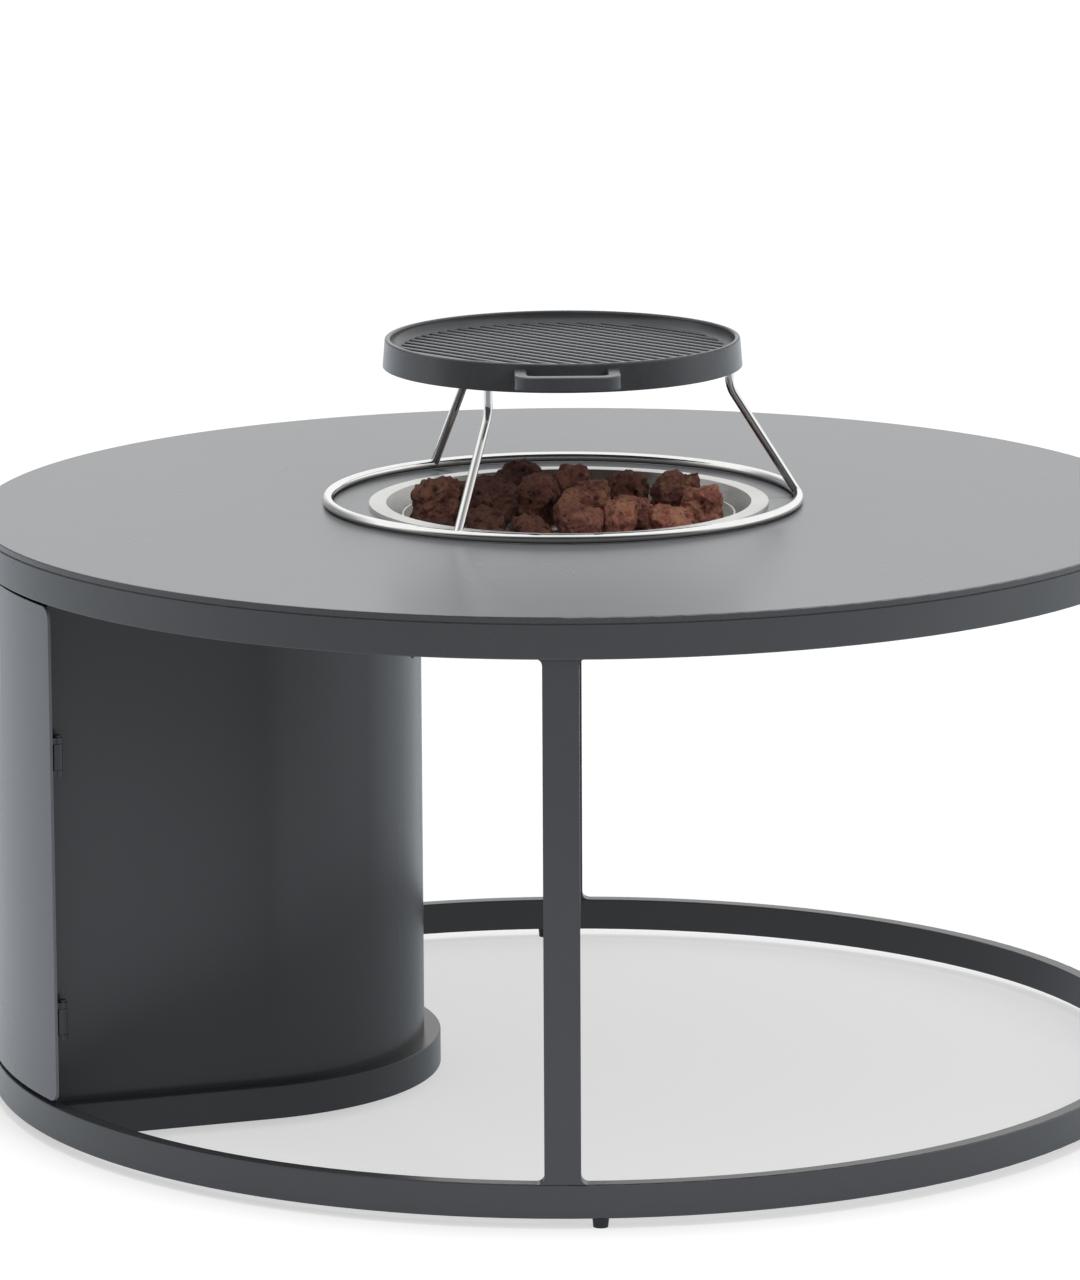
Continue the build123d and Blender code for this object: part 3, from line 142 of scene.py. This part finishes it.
# Plated and raw metal of fittings
ZINC_COLOUR = (0.52, 0.53, 0.55)
ZINC_DULL_COLOUR = (0.36, 0.36, 0.35)
ZINC_ROUGHNESS = 0.34
BRASS_COLOUR = (0.62, 0.43, 0.17)
BRASS_DULL_COLOUR = (0.34, 0.22, 0.09)
BRASS_ROUGHNESS = 0.36
FITTING_PATCH = 0.008
FITTING_DULL_SPAN = (0.35, 0.7)
FITTING_SMOOTHER = 0.06
FITTING_ROUGHER = 0.1
FITTING_GRAIN = 0.0005
FITTING_GRAIN_HEIGHT = 0.00002

# Cast iron of the grill plate
IRON_COLOUR = (0.053, 0.056, 0.061)
IRON_TONES = (0.85, 1.15)
IRON_CLOUD = 0.045
IRON_WORN_TONE = 1.7
IRON_WORN_SPAN = (0.55, 0.8)
IRON_WORN_SHARE = 0.5
IRON_ROUGHNESS = (0.19, 0.27)
IRON_SKIN = 0.0016
IRON_SKIN_HEIGHT = 0.00006
IRON_GRAIN = 0.0005
IRON_GRAIN_HEIGHT = 0.00002

# Plastic, ceramic and rubber
BLACK_PLASTIC_COLOUR = (0.020, 0.020, 0.021)
BLACK_PLASTIC_SKIN = {"roughness": 0.55, "grain_size": 0.0006, "grain_height": 0.00004}
BUTTON_COLOUR = (0.33, 0.030, 0.022)
BUTTON_SKIN = {"roughness": 0.28, "grain_size": 0.0009, "grain_height": 0.00001}
CERAMIC_COLOUR = (0.80, 0.77, 0.71)
CERAMIC_SKIN = {"roughness": 0.40, "grain_size": 0.0009, "grain_height": 0.00002}
RUBBER_COLOUR = (0.030, 0.030, 0.030)
RUBBER_SKIN = {"roughness": 0.66, "grain_size": 0.0007, "grain_height": 0.00004}
MOULDED_TONES = (0.85, 1.15)
MOULDED_CLOUD = 0.012
MOULDED_GLOSS_SHIFT = 0.05

# Lava stone's colours, each for the darkest and the lightest stone; the side colours are painted shade on
# faces that don't point up and a dark stain in patches, and the pit colour is painted shade in pits and
# dips
STONE_SHADE_AND_STAIN_COLOURS = ((0.046, 0.021, 0.018), (0.40, 0.140, 0.108))
STONE_RED_COLOURS = ((0.090, 0.040, 0.034), (0.72, 0.255, 0.190))
STONE_OCHRE_COLOURS = ((0.112, 0.056, 0.036), (0.82, 0.400, 0.225))
STONE_ASH_COLOURS = ((0.160, 0.085, 0.070), (0.90, 0.48, 0.38))
STONE_PAINTED_PIT_SHADE_COLOUR = (0.012, 0.008, 0.007)
STONE_PATCH = 0.014
STONE_OCHRE_SPAN = (0.42, 0.62)
STONE_PAINTED_SHADE_SPAN = (-0.4, 0.5)
STONE_WEATHER_SPAN = (0.34, 0.50)
STONE_WEATHER_LEAST = 0.1
STONE_SKIN = 0.0011
STONE_SKIN_HEIGHT = 0.0006
STONE_ASH_SPAN = (0.52, 0.72)
STONE_ASH_SHARE = 0.8
STONE_ROUGHNESS = (0.80, 0.96)

# Lava stones' forms, and their tones, which are lightest right of the tray's middle as a painted pool of
# light, with a random share added
STONE_SAME_POINT = 1e-6
STONE_VOXEL = 0.001
STONE_ROUNDING = 2
STONE_ROUNDING_SHARE = 0.5
STONE_LUMP = 0.020
STONE_LUMP_FADE = 0.8
STONE_LUMP_STEP = 2.1
STONE_LUMP_LAYERS = 3
STONE_LUMP_HEIGHT = 0.0024
STONE_CRAG = 0.013
STONE_CRAG_BEND = 0.003
STONE_CRAG_HEIGHT = 0.0036
STONE_CRAG_LEVEL = 0.92
# How deep a dip must be to get painted shade
STONE_CRAG_PAINTED_SHADE = -0.5
STONE_CAVE = 0.0140
STONE_CAVE_REACH = 0.30
STONE_CAVE_DEPTH = 0.0022
STONE_PIT = 0.0044
STONE_PIT_REACH = 0.32
STONE_PIT_DEPTH = 0.0011
STONE_GRAIN = 0.0030
STONE_GRAIN_FADE = 0.7
STONE_GRAIN_STEP = 2.0
STONE_GRAIN_LAYERS = 2
STONE_GRAIN_HEIGHT = 0.0011
STONE_SEAT_GAP = 0.0002
STONE_PAINTED_LIGHT_PLACE = (0.075, -0.020)
STONE_PAINTED_LIGHT_REACH = 0.115
STONE_PAINTED_LIGHT_TONE = 0.74
STONE_CHANCE = 0.22
STONE_SEED = 124


# Helpers for finishes
def start_material(name, **settings):
    """A new material and its one shader, with constants set on the shader's sockets."""
    material = bpy.data.materials.new(name)
    material.use_nodes = True
    shader = material.node_tree.nodes["Principled BSDF"]
    for socket, value in settings.items():
        shader.inputs[socket.replace("_", " ")].default_value = value
    return material, material.node_tree, shader


def add_node(tree, kind, inputs=None, **settings):
    """A node with its settings, and its inputs set to a value or linked to another node's socket."""
    node = tree.nodes.new(kind)
    for name, value in settings.items():
        setattr(node, name, value)
    for socket, value in (inputs or {}).items():
        if isinstance(value, bpy.types.NodeSocket):
            tree.links.new(value, node.inputs[socket])
        else:
            node.inputs[socket].default_value = value
    return node


def object_place(tree):
    """The point's place on the piece, which stays with it when it moves."""
    return add_node(tree, "ShaderNodeTexCoord").outputs["Object"]


def facing_up(tree):
    """How far the surface faces up: 1 for up, 0 for upright and -1 for down."""
    normal = add_node(tree, "ShaderNodeNewGeometry").outputs["Normal"]
    return add_node(tree, "ShaderNodeSeparateXYZ", {0: normal}).outputs["Z"]


def result_of(tree, operation, first, second):
    """The result of one sum on two values."""
    return add_node(tree, "ShaderNodeMath", {0: first, 1: second}, operation=operation).outputs[0]


def noise_value(tree, place, size, detail=2.0, roughness=0.5):
    """Soft noise from 0 to 1 whose spots are about as large as size."""
    inputs = {"Vector": place, "Scale": 1.0 / size, "Detail": detail, "Roughness": roughness}
    return add_node(tree, "ShaderNodeTexNoise", inputs).outputs["Fac"]


def between(tree, value, low, high, start=0.0, end=1.0):
    """A value spread from start..end to low..high."""
    inputs = {"Value": value, "From Min": start, "From Max": end, "To Min": low, "To Max": high}
    return add_node(tree, "ShaderNodeMapRange", inputs).outputs["Result"]


def share_over(tree, value, span, most=1.0):
    """A share that grows from 0 to its most while the value goes through the span."""
    return between(tree, value, 0.0, most, *span)


def mixed_colour(tree, share, first, second):
    """A colour between two colours, each a value or a socket."""
    node = add_node(tree, "ShaderNodeMix", data_type="RGBA")
    share_socket, first_socket, second_socket = (node.inputs[place] for place in COLOUR_MIX_INPUTS)
    for socket, value in ((first_socket, first), (second_socket, second)):
        if isinstance(value, bpy.types.NodeSocket):
            tree.links.new(value, socket)
        else:
            socket.default_value = (*value, 1.0)
    tree.links.new(share, share_socket)
    return node.outputs[COLOUR_MIX_OUTPUT]


def shaded(colour, share):
    """The colour made lighter or darker."""
    return tuple(share * part for part in colour)


def shifting_tone(tree, share, colour, tones):
    """The colour between its darker and its lighter tone."""
    darker, lighter = tones
    return mixed_colour(tree, share, shaded(colour, darker), shaded(colour, lighter))


def add_bump(tree, shader, height, distance, under=None):
    """Relief on the shader's normal, on top of an earlier relief if there is one."""
    inputs = {"Height": height, "Distance": distance, "Strength": 1.0}
    if under is not None:
        inputs["Normal"] = under
    normal = add_node(tree, "ShaderNodeBump", inputs).outputs["Normal"]
    tree.links.new(normal, shader.inputs["Normal"])
    return normal


# Powder coats
def powder_coat(name, colour, edge_colour=None):
    """Fine-textured satin coat: slow shifts of tone and gloss, and a grain like orange peel. With an edge
    colour, faces that point up get the lighter colour as painted light, and the rest the edge colour.
    """
    material, tree, shader = start_material(name, Metallic=0.0, IOR=1.5)
    place = object_place(tree)
    cloud = noise_value(tree, place, COAT_CLOUD, detail=3.0)
    grain = noise_value(tree, place, COAT_GRAIN)
    tone = shifting_tone(tree, cloud, colour, COAT_TONES)
    if edge_colour is not None:
        # Faces that point up get the lighter colour: painted light on the top; the edges keep the edge
        # colour
        top = share_over(tree, facing_up(tree), COAT_PAINTED_TOP_LIGHT_SPAN)
        tone = mixed_colour(tree, top, edge_colour, tone)
    lighter = shifting_tone(tree, cloud, colour, COAT_SPECK_TONES)
    speck = share_over(tree, grain, COAT_SPECK_SPAN, COAT_SPECK_SHARE)
    tree.links.new(mixed_colour(tree, speck, tone, lighter), shader.inputs["Base Color"])
    gloss = between(tree, cloud, COAT_ROUGHNESS - COAT_GLOSS_SHIFT, COAT_ROUGHNESS + COAT_GLOSS_SHIFT)
    tree.links.new(gloss, shader.inputs["Roughness"])
    add_bump(tree, shader, grain, COAT_GRAIN_HEIGHT)
    return material


# Metals
def around_axis(tree, place, radius_size, angle_share):
    """Places stretched round the table's axis, for marks that run in circles."""
    parts = add_node(tree, "ShaderNodeSeparateXYZ", {0: place}).outputs
    flat = add_node(tree, "ShaderNodeCombineXYZ", {"X": parts["X"], "Y": parts["Y"]}).outputs[0]
    radius = add_node(tree, "ShaderNodeVectorMath", {0: flat}, operation="LENGTH").outputs["Value"]
    angle = result_of(tree, "ARCTAN2", parts["Y"], parts["X"])
    circle = {
        "X": result_of(tree, "DIVIDE", radius, radius_size),
        "Y": result_of(tree, "MULTIPLY", angle, angle_share),
        "Z": result_of(tree, "DIVIDE", parts["Z"], radius_size),
    }
    return add_node(tree, "ShaderNodeCombineXYZ", circle).outputs[0]


def turned_steel(name, colour):
    """Sheet steel with fine circular brush marks and faint stains from heat."""
    brushing = {"Anisotropic": STEEL_BRUSHING, "Anisotropic_Rotation": STEEL_BRUSH_TURN}
    material, tree, shader = start_material(name, Metallic=1.0, **brushing)
    along = add_node(tree, "ShaderNodeTangent", direction_type="RADIAL", axis="Z")
    tree.links.new(along.outputs["Tangent"], shader.inputs["Tangent"])
    place = object_place(tree)
    circles = around_axis(tree, place, STEEL_MARK, STEEL_MARKS_PER_RADIAN)
    marks = noise_value(tree, circles, 1.0, detail=3.0)
    stain = noise_value(tree, place, STEEL_STAIN, detail=3.0)
    tone = shifting_tone(tree, share_over(tree, marks, MIDDLE_SPAN), colour, STEEL_TONES)
    stained = share_over(tree, stain, STEEL_STAIN_SPAN, STEEL_STAIN_SHARE)
    warm = mixed_colour(tree, stained, tone, STEEL_STAIN_COLOUR)
    tree.links.new(warm, shader.inputs["Base Color"])
    gloss = between(tree, marks, *STEEL_ROUGHNESS, *MIDDLE_SPAN)
    tree.links.new(gloss, shader.inputs["Roughness"])
    add_bump(tree, shader, marks, STEEL_MARK_HEIGHT)
    return material


def polished_wire(name, colour, painted_shade):
    """Bright drawn wire with hair scratches and a breath of handling, darkened with painted shade where
    it faces down.
    """
    material, tree, shader = start_material(name, Metallic=1.0)
    place = object_place(tree)
    breath = noise_value(tree, place, WIRE_BREATH, detail=4.0)
    scratch = noise_value(tree, place, WIRE_SCRATCH)
    clean = shifting_tone(tree, breath, colour, WIRE_TONES)
    # Faces that point down get the darker colour: painted shade
    out_of_painted_shade = share_over(tree, facing_up(tree), WIRE_PAINTED_SHADE_SPAN)
    tree.links.new(mixed_colour(tree, out_of_painted_shade, painted_shade, clean), shader.inputs["Base Color"])
    tree.links.new(between(tree, breath, *WIRE_ROUGHNESS), shader.inputs["Roughness"])
    add_bump(tree, shader, scratch, WIRE_SCRATCH_HEIGHT)
    return material


def plain_metal(name, colour, dull_colour, roughness):
    """Plated or raw metal of small fittings, a little dull in patches."""
    material, tree, shader = start_material(name, Metallic=1.0)
    place = object_place(tree)
    patch = noise_value(tree, place, FITTING_PATCH, detail=4.0)
    grain = noise_value(tree, place, FITTING_GRAIN)
    dull = share_over(tree, patch, FITTING_DULL_SPAN)
    tree.links.new(mixed_colour(tree, dull, colour, dull_colour), shader.inputs["Base Color"])
    smoothest = roughness - FITTING_SMOOTHER
    roughest = roughness + FITTING_ROUGHER
    tree.links.new(between(tree, patch, smoothest, roughest, *MIDDLE_SPAN), shader.inputs["Roughness"])
    add_bump(tree, shader, grain, FITTING_GRAIN_HEIGHT)
    return material


def cast_iron(name, colour):
    """Sand-cast iron with a dark baked coat: coarse grainy skin, a little worn on its knobs."""
    material, tree, shader = start_material(name, Metallic=0.0, IOR=1.5)
    place = object_place(tree)
    skin = noise_value(tree, place, IRON_SKIN, detail=3.0, roughness=0.6)
    grain = noise_value(tree, place, IRON_GRAIN)
    cloud = noise_value(tree, place, IRON_CLOUD, detail=3.0)
    tone = shifting_tone(tree, share_over(tree, cloud, MIDDLE_SPAN), colour, IRON_TONES)
    worn = share_over(tree, skin, IRON_WORN_SPAN, IRON_WORN_SHARE)
    shown = mixed_colour(tree, worn, tone, shaded(colour, IRON_WORN_TONE))
    tree.links.new(shown, shader.inputs["Base Color"])
    tree.links.new(between(tree, cloud, *IRON_ROUGHNESS), shader.inputs["Roughness"])
    coarse = add_bump(tree, shader, skin, IRON_SKIN_HEIGHT)
    add_bump(tree, shader, grain, IRON_GRAIN_HEIGHT, under=coarse)
    return material


# Plastic, ceramic and rubber
def moulded(name, colour, roughness, grain_size, grain_height):
    """Moulded or fired material with a fine skin and slight shifts of tone."""
    material, tree, shader = start_material(name, Metallic=0.0, IOR=1.46)
    place = object_place(tree)
    cloud = noise_value(tree, place, MOULDED_CLOUD, detail=3.0)
    grain = noise_value(tree, place, grain_size)
    tree.links.new(shifting_tone(tree, cloud, colour, MOULDED_TONES), shader.inputs["Base Color"])
    smoothest = roughness - MOULDED_GLOSS_SHIFT
    roughest = roughness + MOULDED_GLOSS_SHIFT
    tree.links.new(between(tree, cloud, smoothest, roughest, *MIDDLE_SPAN), shader.inputs["Roughness"])
    add_bump(tree, shader, grain, grain_height)
    return material


# Lava stone
def lava_stone(name):
    """Porous red-brown lava: each stone has its own tone, partly painted light, with painted shade in
    pits and dips and on faces that don't point up, and dusty knobs.
    """
    material, tree, shader = start_material(name, Metallic=0.0, IOR=1.45)
    place = object_place(tree)
    painted_pit_shade = add_node(tree, "ShaderNodeAttribute", attribute_name="painted_pit_shade").outputs["Fac"]
    stone = add_node(tree, "ShaderNodeAttribute", attribute_name="stone_tone_and_painted_light").outputs["Fac"]
    patch = noise_value(tree, place, STONE_PATCH, detail=4.0, roughness=0.6)
    grain = noise_value(tree, place, STONE_SKIN, detail=3.0, roughness=0.65)
    # The side colour is painted shade on faces that don't point up, and a dark stain where the patches
    # are low
    painted_shade_and_stain = mixed_colour(tree, stone, *STONE_SHADE_AND_STAIN_COLOURS)
    red = mixed_colour(tree, stone, *STONE_RED_COLOURS)
    ochre = mixed_colour(tree, stone, *STONE_OCHRE_COLOURS)
    ash = mixed_colour(tree, stone, *STONE_ASH_COLOURS)
    weathered = mixed_colour(tree, share_over(tree, patch, STONE_OCHRE_SPAN), red, ochre)
    out_of_painted_shade = share_over(tree, facing_up(tree), STONE_PAINTED_SHADE_SPAN)
    patchy = between(tree, patch, STONE_WEATHER_LEAST, 1.0, *STONE_WEATHER_SPAN)
    brown = mixed_colour(tree, result_of(tree, "MULTIPLY", out_of_painted_shade, patchy), painted_shade_and_stain, weathered)
    dust = share_over(tree, grain, STONE_ASH_SPAN, STONE_ASH_SHARE)
    dusty = mixed_colour(tree, dust, brown, ash)
    # Pits and dips are darkened: painted shade
    pit_shaded = mixed_colour(tree, painted_pit_shade, dusty, STONE_PAINTED_PIT_SHADE_COLOUR)
    tree.links.new(pit_shaded, shader.inputs["Base Color"])
    gloss = between(tree, grain, *STONE_ROUGHNESS, *MIDDLE_SPAN)
    tree.links.new(gloss, shader.inputs["Roughness"])
    add_bump(tree, shader, grain, STONE_SKIN_HEIGHT)
    return material


def stone_hulls():
    """The corner points of each stone in the solid model, stone by stone from the left."""
    whole = bmesh.new()
    whole.from_mesh(nodes["lava_rocks"].data)
    bmesh.ops.remove_doubles(whole, verts=whole.verts, dist=STONE_SAME_POINT)
    whole.verts.index_update()
    left = set(whole.verts)
    hulls = []
    while left:
        group = []
        reached = [min(left, key=lambda vert: vert.index)]
        left.discard(reached[0])
        while reached:
            vert = reached.pop()
            group.append(vert.co.copy())
            for edge in vert.link_edges:
                other = edge.other_vert(vert)
                if other in left:
                    left.discard(other)
                    reached.append(other)
        hulls.append(sorted(group, key=tuple))
    whole.free()
    return sorted(hulls, key=lambda group: tuple(group[0]))


def fine_form(points):
    """A closed form of small even faces over a stone's corner points, with its edges rounded off."""
    rough = bmesh.new()
    for point in points:
        rough.verts.new(point)
    bmesh.ops.convex_hull(rough, input=rough.verts)
    mesh = bpy.data.meshes.new("stone_form")
    rough.to_mesh(mesh)
    rough.free()
    form = bpy.data.objects.new("stone_form", mesh)
    bpy.context.scene.collection.objects.link(form)
    remesh = form.modifiers.new("even_faces", "REMESH")
    remesh.mode = "VOXEL"
    remesh.voxel_size = STONE_VOXEL
    evaluated = form.evaluated_get(bpy.context.evaluated_depsgraph_get())
    fine = bmesh.new()
    fine.from_mesh(evaluated.to_mesh())
    evaluated.to_mesh_clear()
    bpy.data.objects.remove(form)
    bpy.data.meshes.remove(mesh)
    all_ways = {"use_axis_x": True, "use_axis_y": True, "use_axis_z": True}
    for _ in range(STONE_ROUNDING):
        bmesh.ops.smooth_vert(fine, verts=fine.verts, factor=STONE_ROUNDING_SHARE, **all_ways)
    fine.normal_update()
    return fine


def hole_depth(place, reach):
    """How deep a place lies in a round gas hole, from 0 outside it to 1 in its middle."""
    share = max(0.0, 1.0 - noise.voronoi(place)[0][0] / reach)
    return share * share * (3.0 - 2.0 * share)


def stone_relief(place):
    """How far the stone's skin stands out at a place, and how deep in a pit or dip the place is, from 0
    to 1, which the finish darkens as painted shade.
    """
    lump = noise.fractal(place / STONE_LUMP, STONE_LUMP_FADE, STONE_LUMP_STEP, STONE_LUMP_LAYERS)
    bent = place + STONE_CRAG_BEND * noise.noise_vector(place / STONE_CRAG)
    crag = noise.voronoi(bent / STONE_CRAG, distance_metric="MANHATTAN")[0][0] - STONE_CRAG_LEVEL
    pit = hole_depth(place / STONE_PIT, STONE_PIT_REACH)
    cave = hole_depth(place / STONE_CAVE, STONE_CAVE_REACH)
    grain = noise.fractal(place / STONE_GRAIN, STONE_GRAIN_FADE, STONE_GRAIN_STEP, STONE_GRAIN_LAYERS)
    rise = STONE_LUMP_HEIGHT * lump + STONE_CRAG_HEIGHT * crag + STONE_GRAIN_HEIGHT * grain
    rise -= STONE_PIT_DEPTH * pit + STONE_CAVE_DEPTH * cave
    return rise, min(1.0, max(pit, cave) + max(0.0, STONE_CRAG_PAINTED_SHADE - crag))


def lava_stones():
    """All stones of the tray as porous lumps that keep the places and sizes of the solid ones."""
    draw = random.Random(STONE_SEED)
    noise.seed_set(STONE_SEED)
    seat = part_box("lava_rocks")[0].z + STONE_SEAT_GAP
    vertices = []
    faces = []
    painted_pit_shades = []
    tones = []
    for points in stone_hulls():
        form = fine_form(points)
        shift = Vector([draw.uniform(-1.0, 1.0) for _ in range(3)])
        middle = sum(points, Vector()) / len(points)
        # Stones near a place right of the tray's middle get a lighter tone: a painted pool of light
        away = (middle.to_2d() - Vector(STONE_PAINTED_LIGHT_PLACE)).length
        lit = STONE_PAINTED_LIGHT_TONE * max(0.0, 1.0 - away / STONE_PAINTED_LIGHT_REACH)
        tone = lit + draw.uniform(0.0, STONE_CHANCE)
        first = len(vertices)
        for vert in form.verts:
            # How deep in a pit or dip each point is, for the painted shade
            rise, painted_pit_shade = stone_relief(vert.co + shift)
            place = vert.co + rise * vert.normal
            place.z = max(place.z, seat)
            vertices.append(place)
            painted_pit_shades.append(painted_pit_shade)
            tones.append(tone)
        faces += [[first + vert.index for vert in face.verts] for face in form.faces]
        form.free()
    mesh = bpy.data.meshes.new("lava_stones")
    mesh.from_pydata(vertices, [], faces)
    for name, values in (("painted_pit_shade", painted_pit_shades), ("stone_tone_and_painted_light", tones)):
        mesh.attributes.new(name, "FLOAT", "POINT").data.foreach_set("value", values)
    mesh.shade_smooth()
    stones = bpy.data.objects.new("lava_stones", mesh)
    bpy.context.scene.collection.objects.link(stones)
    return stones


# Finishes of the solid pieces, by slot
finishes = {
    "frame_coat": powder_coat("frame_coat", FRAME_COLOUR),
    # The tabletop, housing and door coats are lighter or darker copies of the frame's coat: painted light
    # and shade
    "tabletop_coat": powder_coat("tabletop_coat", TOP_PAINTED_LIGHT_COLOUR, edge_colour=FRAME_COLOUR),
    "housing_coat": powder_coat("housing_coat", HOUSING_PAINTED_SHADE_COLOUR),
    "door_coat": powder_coat("door_coat", DOOR_PAINTED_LIGHT_COLOUR),
    "fastener_steel": plain_metal("fastener_steel", ZINC_COLOUR, ZINC_DULL_COLOUR, ZINC_ROUGHNESS),
    "bowl_steel": turned_steel("bowl_steel", STEEL_COLOUR),
    "stand_wire": polished_wire("stand_wire", WIRE_COLOUR, WIRE_PAINTED_SHADE_COLOUR),
    "plate_iron": cast_iron("plate_iron", IRON_COLOUR),
    "lava_stone": lava_stone("lava_stone"),
    "fitting_brass": plain_metal("fitting_brass", BRASS_COLOUR, BRASS_DULL_COLOUR, BRASS_ROUGHNESS),
    "black_plastic": moulded("black_plastic", BLACK_PLASTIC_COLOUR, **BLACK_PLASTIC_SKIN),
    "button_plastic": moulded("button_plastic", BUTTON_COLOUR, **BUTTON_SKIN),
    "electrode_ceramic": moulded("electrode_ceramic", CERAMIC_COLOUR, **CERAMIC_SKIN),
    "lead_rubber": moulded("lead_rubber", RUBBER_COLOUR, **RUBBER_SKIN),
}
for part in frame["record"]["subparts"]:
    nodes[part["node"]].data.materials.clear()
    nodes[part["node"]].data.materials.append(finishes[part["material_slot"]])

stones = lava_stones()
stones.data.materials.append(finishes["lava_stone"])
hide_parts("lava_rocks")
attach(stones, "lava_tray")


# Studio
def seen_directly(tree):
    """1 for the camera, reflections and see-through surfaces, and 0 for the light on other things."""
    path = add_node(tree, "ShaderNodeLightPath")
    shown = result_of(tree, "MAXIMUM", path.outputs["Is Camera Ray"], path.outputs["Is Glossy Ray"])
    return result_of(tree, "MAXIMUM", shown, path.outputs["Is Transmission Ray"])


def studio_floor():
    """A pale floor that looks white where the light reaches it, and keeps the table's shadow."""
    half = FLOOR_HALF_SIZE
    corners = [(-half, -half, 0.0), (half, -half, 0.0), (half, half, 0.0), (-half, half, 0.0)]
    mesh = bpy.data.meshes.new("floor")
    mesh.from_pydata(corners, [], [(0, 1, 2, 3)])
    floor = bpy.data.objects.new("floor", mesh)
    bpy.context.scene.collection.objects.link(floor)
    material = bpy.data.materials.new("floor")
    material.use_nodes = True
    tree = material.node_tree
    tree.nodes.clear()
    plain = add_node(tree, "ShaderNodeBsdfDiffuse", {"Color": FLOOR_COLOUR})
    place = object_place(tree)
    toward_room = add_node(tree, "ShaderNodeSeparateXYZ", {0: place}).outputs["Y"]
    room = between(tree, toward_room, 1.0, ROOM_FLOOR_LEVEL, ROOM_FLOOR_START, ROOM_FLOOR_END)
    distance = add_node(tree, "ShaderNodeVectorMath", {0: place}, operation="LENGTH").outputs["Value"]
    shade = between(tree, distance, 1.0, SHADE_LEVEL, SHADE_START, SHADE_END)
    level = result_of(tree, "MULTIPLY", room, shade)
    mirrored = mixed_colour(tree, level, BLACK, FLOOR_MIRRORED_COLOUR)
    camera = add_node(tree, "ShaderNodeLightPath").outputs["Is Camera Ray"]
    shown = mixed_colour(tree, camera, mirrored, WHITE)
    scaling = {0: shown, "Scale": FLOOR_SEEN_LEVEL}
    dimmed = add_node(tree, "ShaderNodeVectorMath", scaling, operation="SCALE").outputs["Vector"]
    lit = add_node(tree, "ShaderNodeBsdfDiffuse", {"Color": dimmed})
    glow = add_node(tree, "ShaderNodeEmission", {"Color": shown, "Strength": FLOOR_GLOW})
    seen = add_node(tree, "ShaderNodeAddShader", {0: lit.outputs[0], 1: glow.outputs[0]})
    choice = {0: seen_directly(tree), 1: plain.outputs[0], 2: seen.outputs[0]}
    mix = add_node(tree, "ShaderNodeMixShader", choice)
    add_node(tree, "ShaderNodeOutputMaterial", {"Surface": mix.outputs[0]})
    mesh.materials.append(material)


def studio_sky():
    """An even soft sky that looks white, but for the dim parts that reflections show."""
    world = bpy.data.worlds.new("studio")
    bpy.context.scene.world = world
    world.use_nodes = True
    tree = world.node_tree
    tree.nodes.clear()
    soft = add_node(tree, "ShaderNodeBackground", {"Color": (*WHITE, 1.0), "Strength": SKY_LEVEL})
    direction = add_node(tree, "ShaderNodeTexCoord").outputs["Generated"]
    toward = add_node(tree, "ShaderNodeSeparateXYZ", {0: direction}).outputs
    aside = add_node(tree, "ShaderNodeMath", {0: toward["X"]}, operation="ABSOLUTE").outputs[0]
    beside = result_of(tree, "MULTIPLY", aside, SIDE_SKY_SHARE)
    back_or_up = result_of(tree, "ADD", toward["Y"], toward["Z"])
    away = result_of(tree, "ADD", back_or_up, beside)
    room = between(tree, away, ROOM_SKY_LEVEL, 1.0, ROOM_SKY_START, ROOM_SKY_END)
    back_left = result_of(tree, "SUBTRACT", toward["Y"], toward["X"])
    left = between(tree, back_left, 1.0, LEFT_SKY_LEVEL, LEFT_SKY_START, LEFT_SKY_END)
    mirrored = result_of(tree, "MULTIPLY", room, left)
    camera = add_node(tree, "ShaderNodeLightPath").outputs["Is Camera Ray"]
    shown = result_of(tree, "MAXIMUM", mirrored, camera)
    white = add_node(tree, "ShaderNodeBackground", {"Color": (*WHITE, 1.0), "Strength": shown})
    choice = {0: seen_directly(tree), 1: soft.outputs[0], 2: white.outputs[0]}
    mix = add_node(tree, "ShaderNodeMixShader", choice)
    add_node(tree, "ShaderNodeOutputWorld", {"Surface": mix.outputs[0]})


def add_lamp(name, kind, place, target):
    """A lamp that points from its place at a target and leaves no glint in glossy things."""
    lamp = bpy.data.objects.new(name, bpy.data.lights.new(name, kind))
    lamp.location = place
    lamp.rotation_euler = (Vector(target) - Vector(place)).to_track_quat("-Z", "Y").to_euler()
    lamp.visible_glossy = False
    bpy.context.scene.collection.objects.link(lamp)
    return lamp.data


def studio_lamps():
    """A lamp overhead, and a soft one at the front right."""
    overhead = add_lamp("overhead", "SUN", SUN_PLACE, SUN_TARGET)
    overhead.energy = SUN_LEVEL
    overhead.angle = math.radians(SUN_WIDTH)
    front = add_lamp("front", "AREA", FRONT_LAMP_PLACE, FRONT_LAMP_TARGET)
    front.shape = "RECTANGLE"
    front.size, front.size_y = FRONT_LAMP_SIZE
    front.energy = FRONT_LAMP_POWER


def studio_camera():
    """The camera, far in front of the table and a little above it."""
    data = bpy.data.cameras.new("camera")
    data.lens = CAMERA_FOCAL_LENGTH
    data.sensor_width = CAMERA_SENSOR
    camera = bpy.data.objects.new("camera", data)
    camera.location = CAMERA_PLACE
    camera.rotation_euler = [math.radians(turn) for turn in CAMERA_TURN]
    bpy.context.scene.collection.objects.link(camera)
    bpy.context.scene.camera = camera


studio_floor()
studio_sky()
studio_lamps()
studio_camera()
bpy.context.scene.view_settings.view_transform = "Standard"
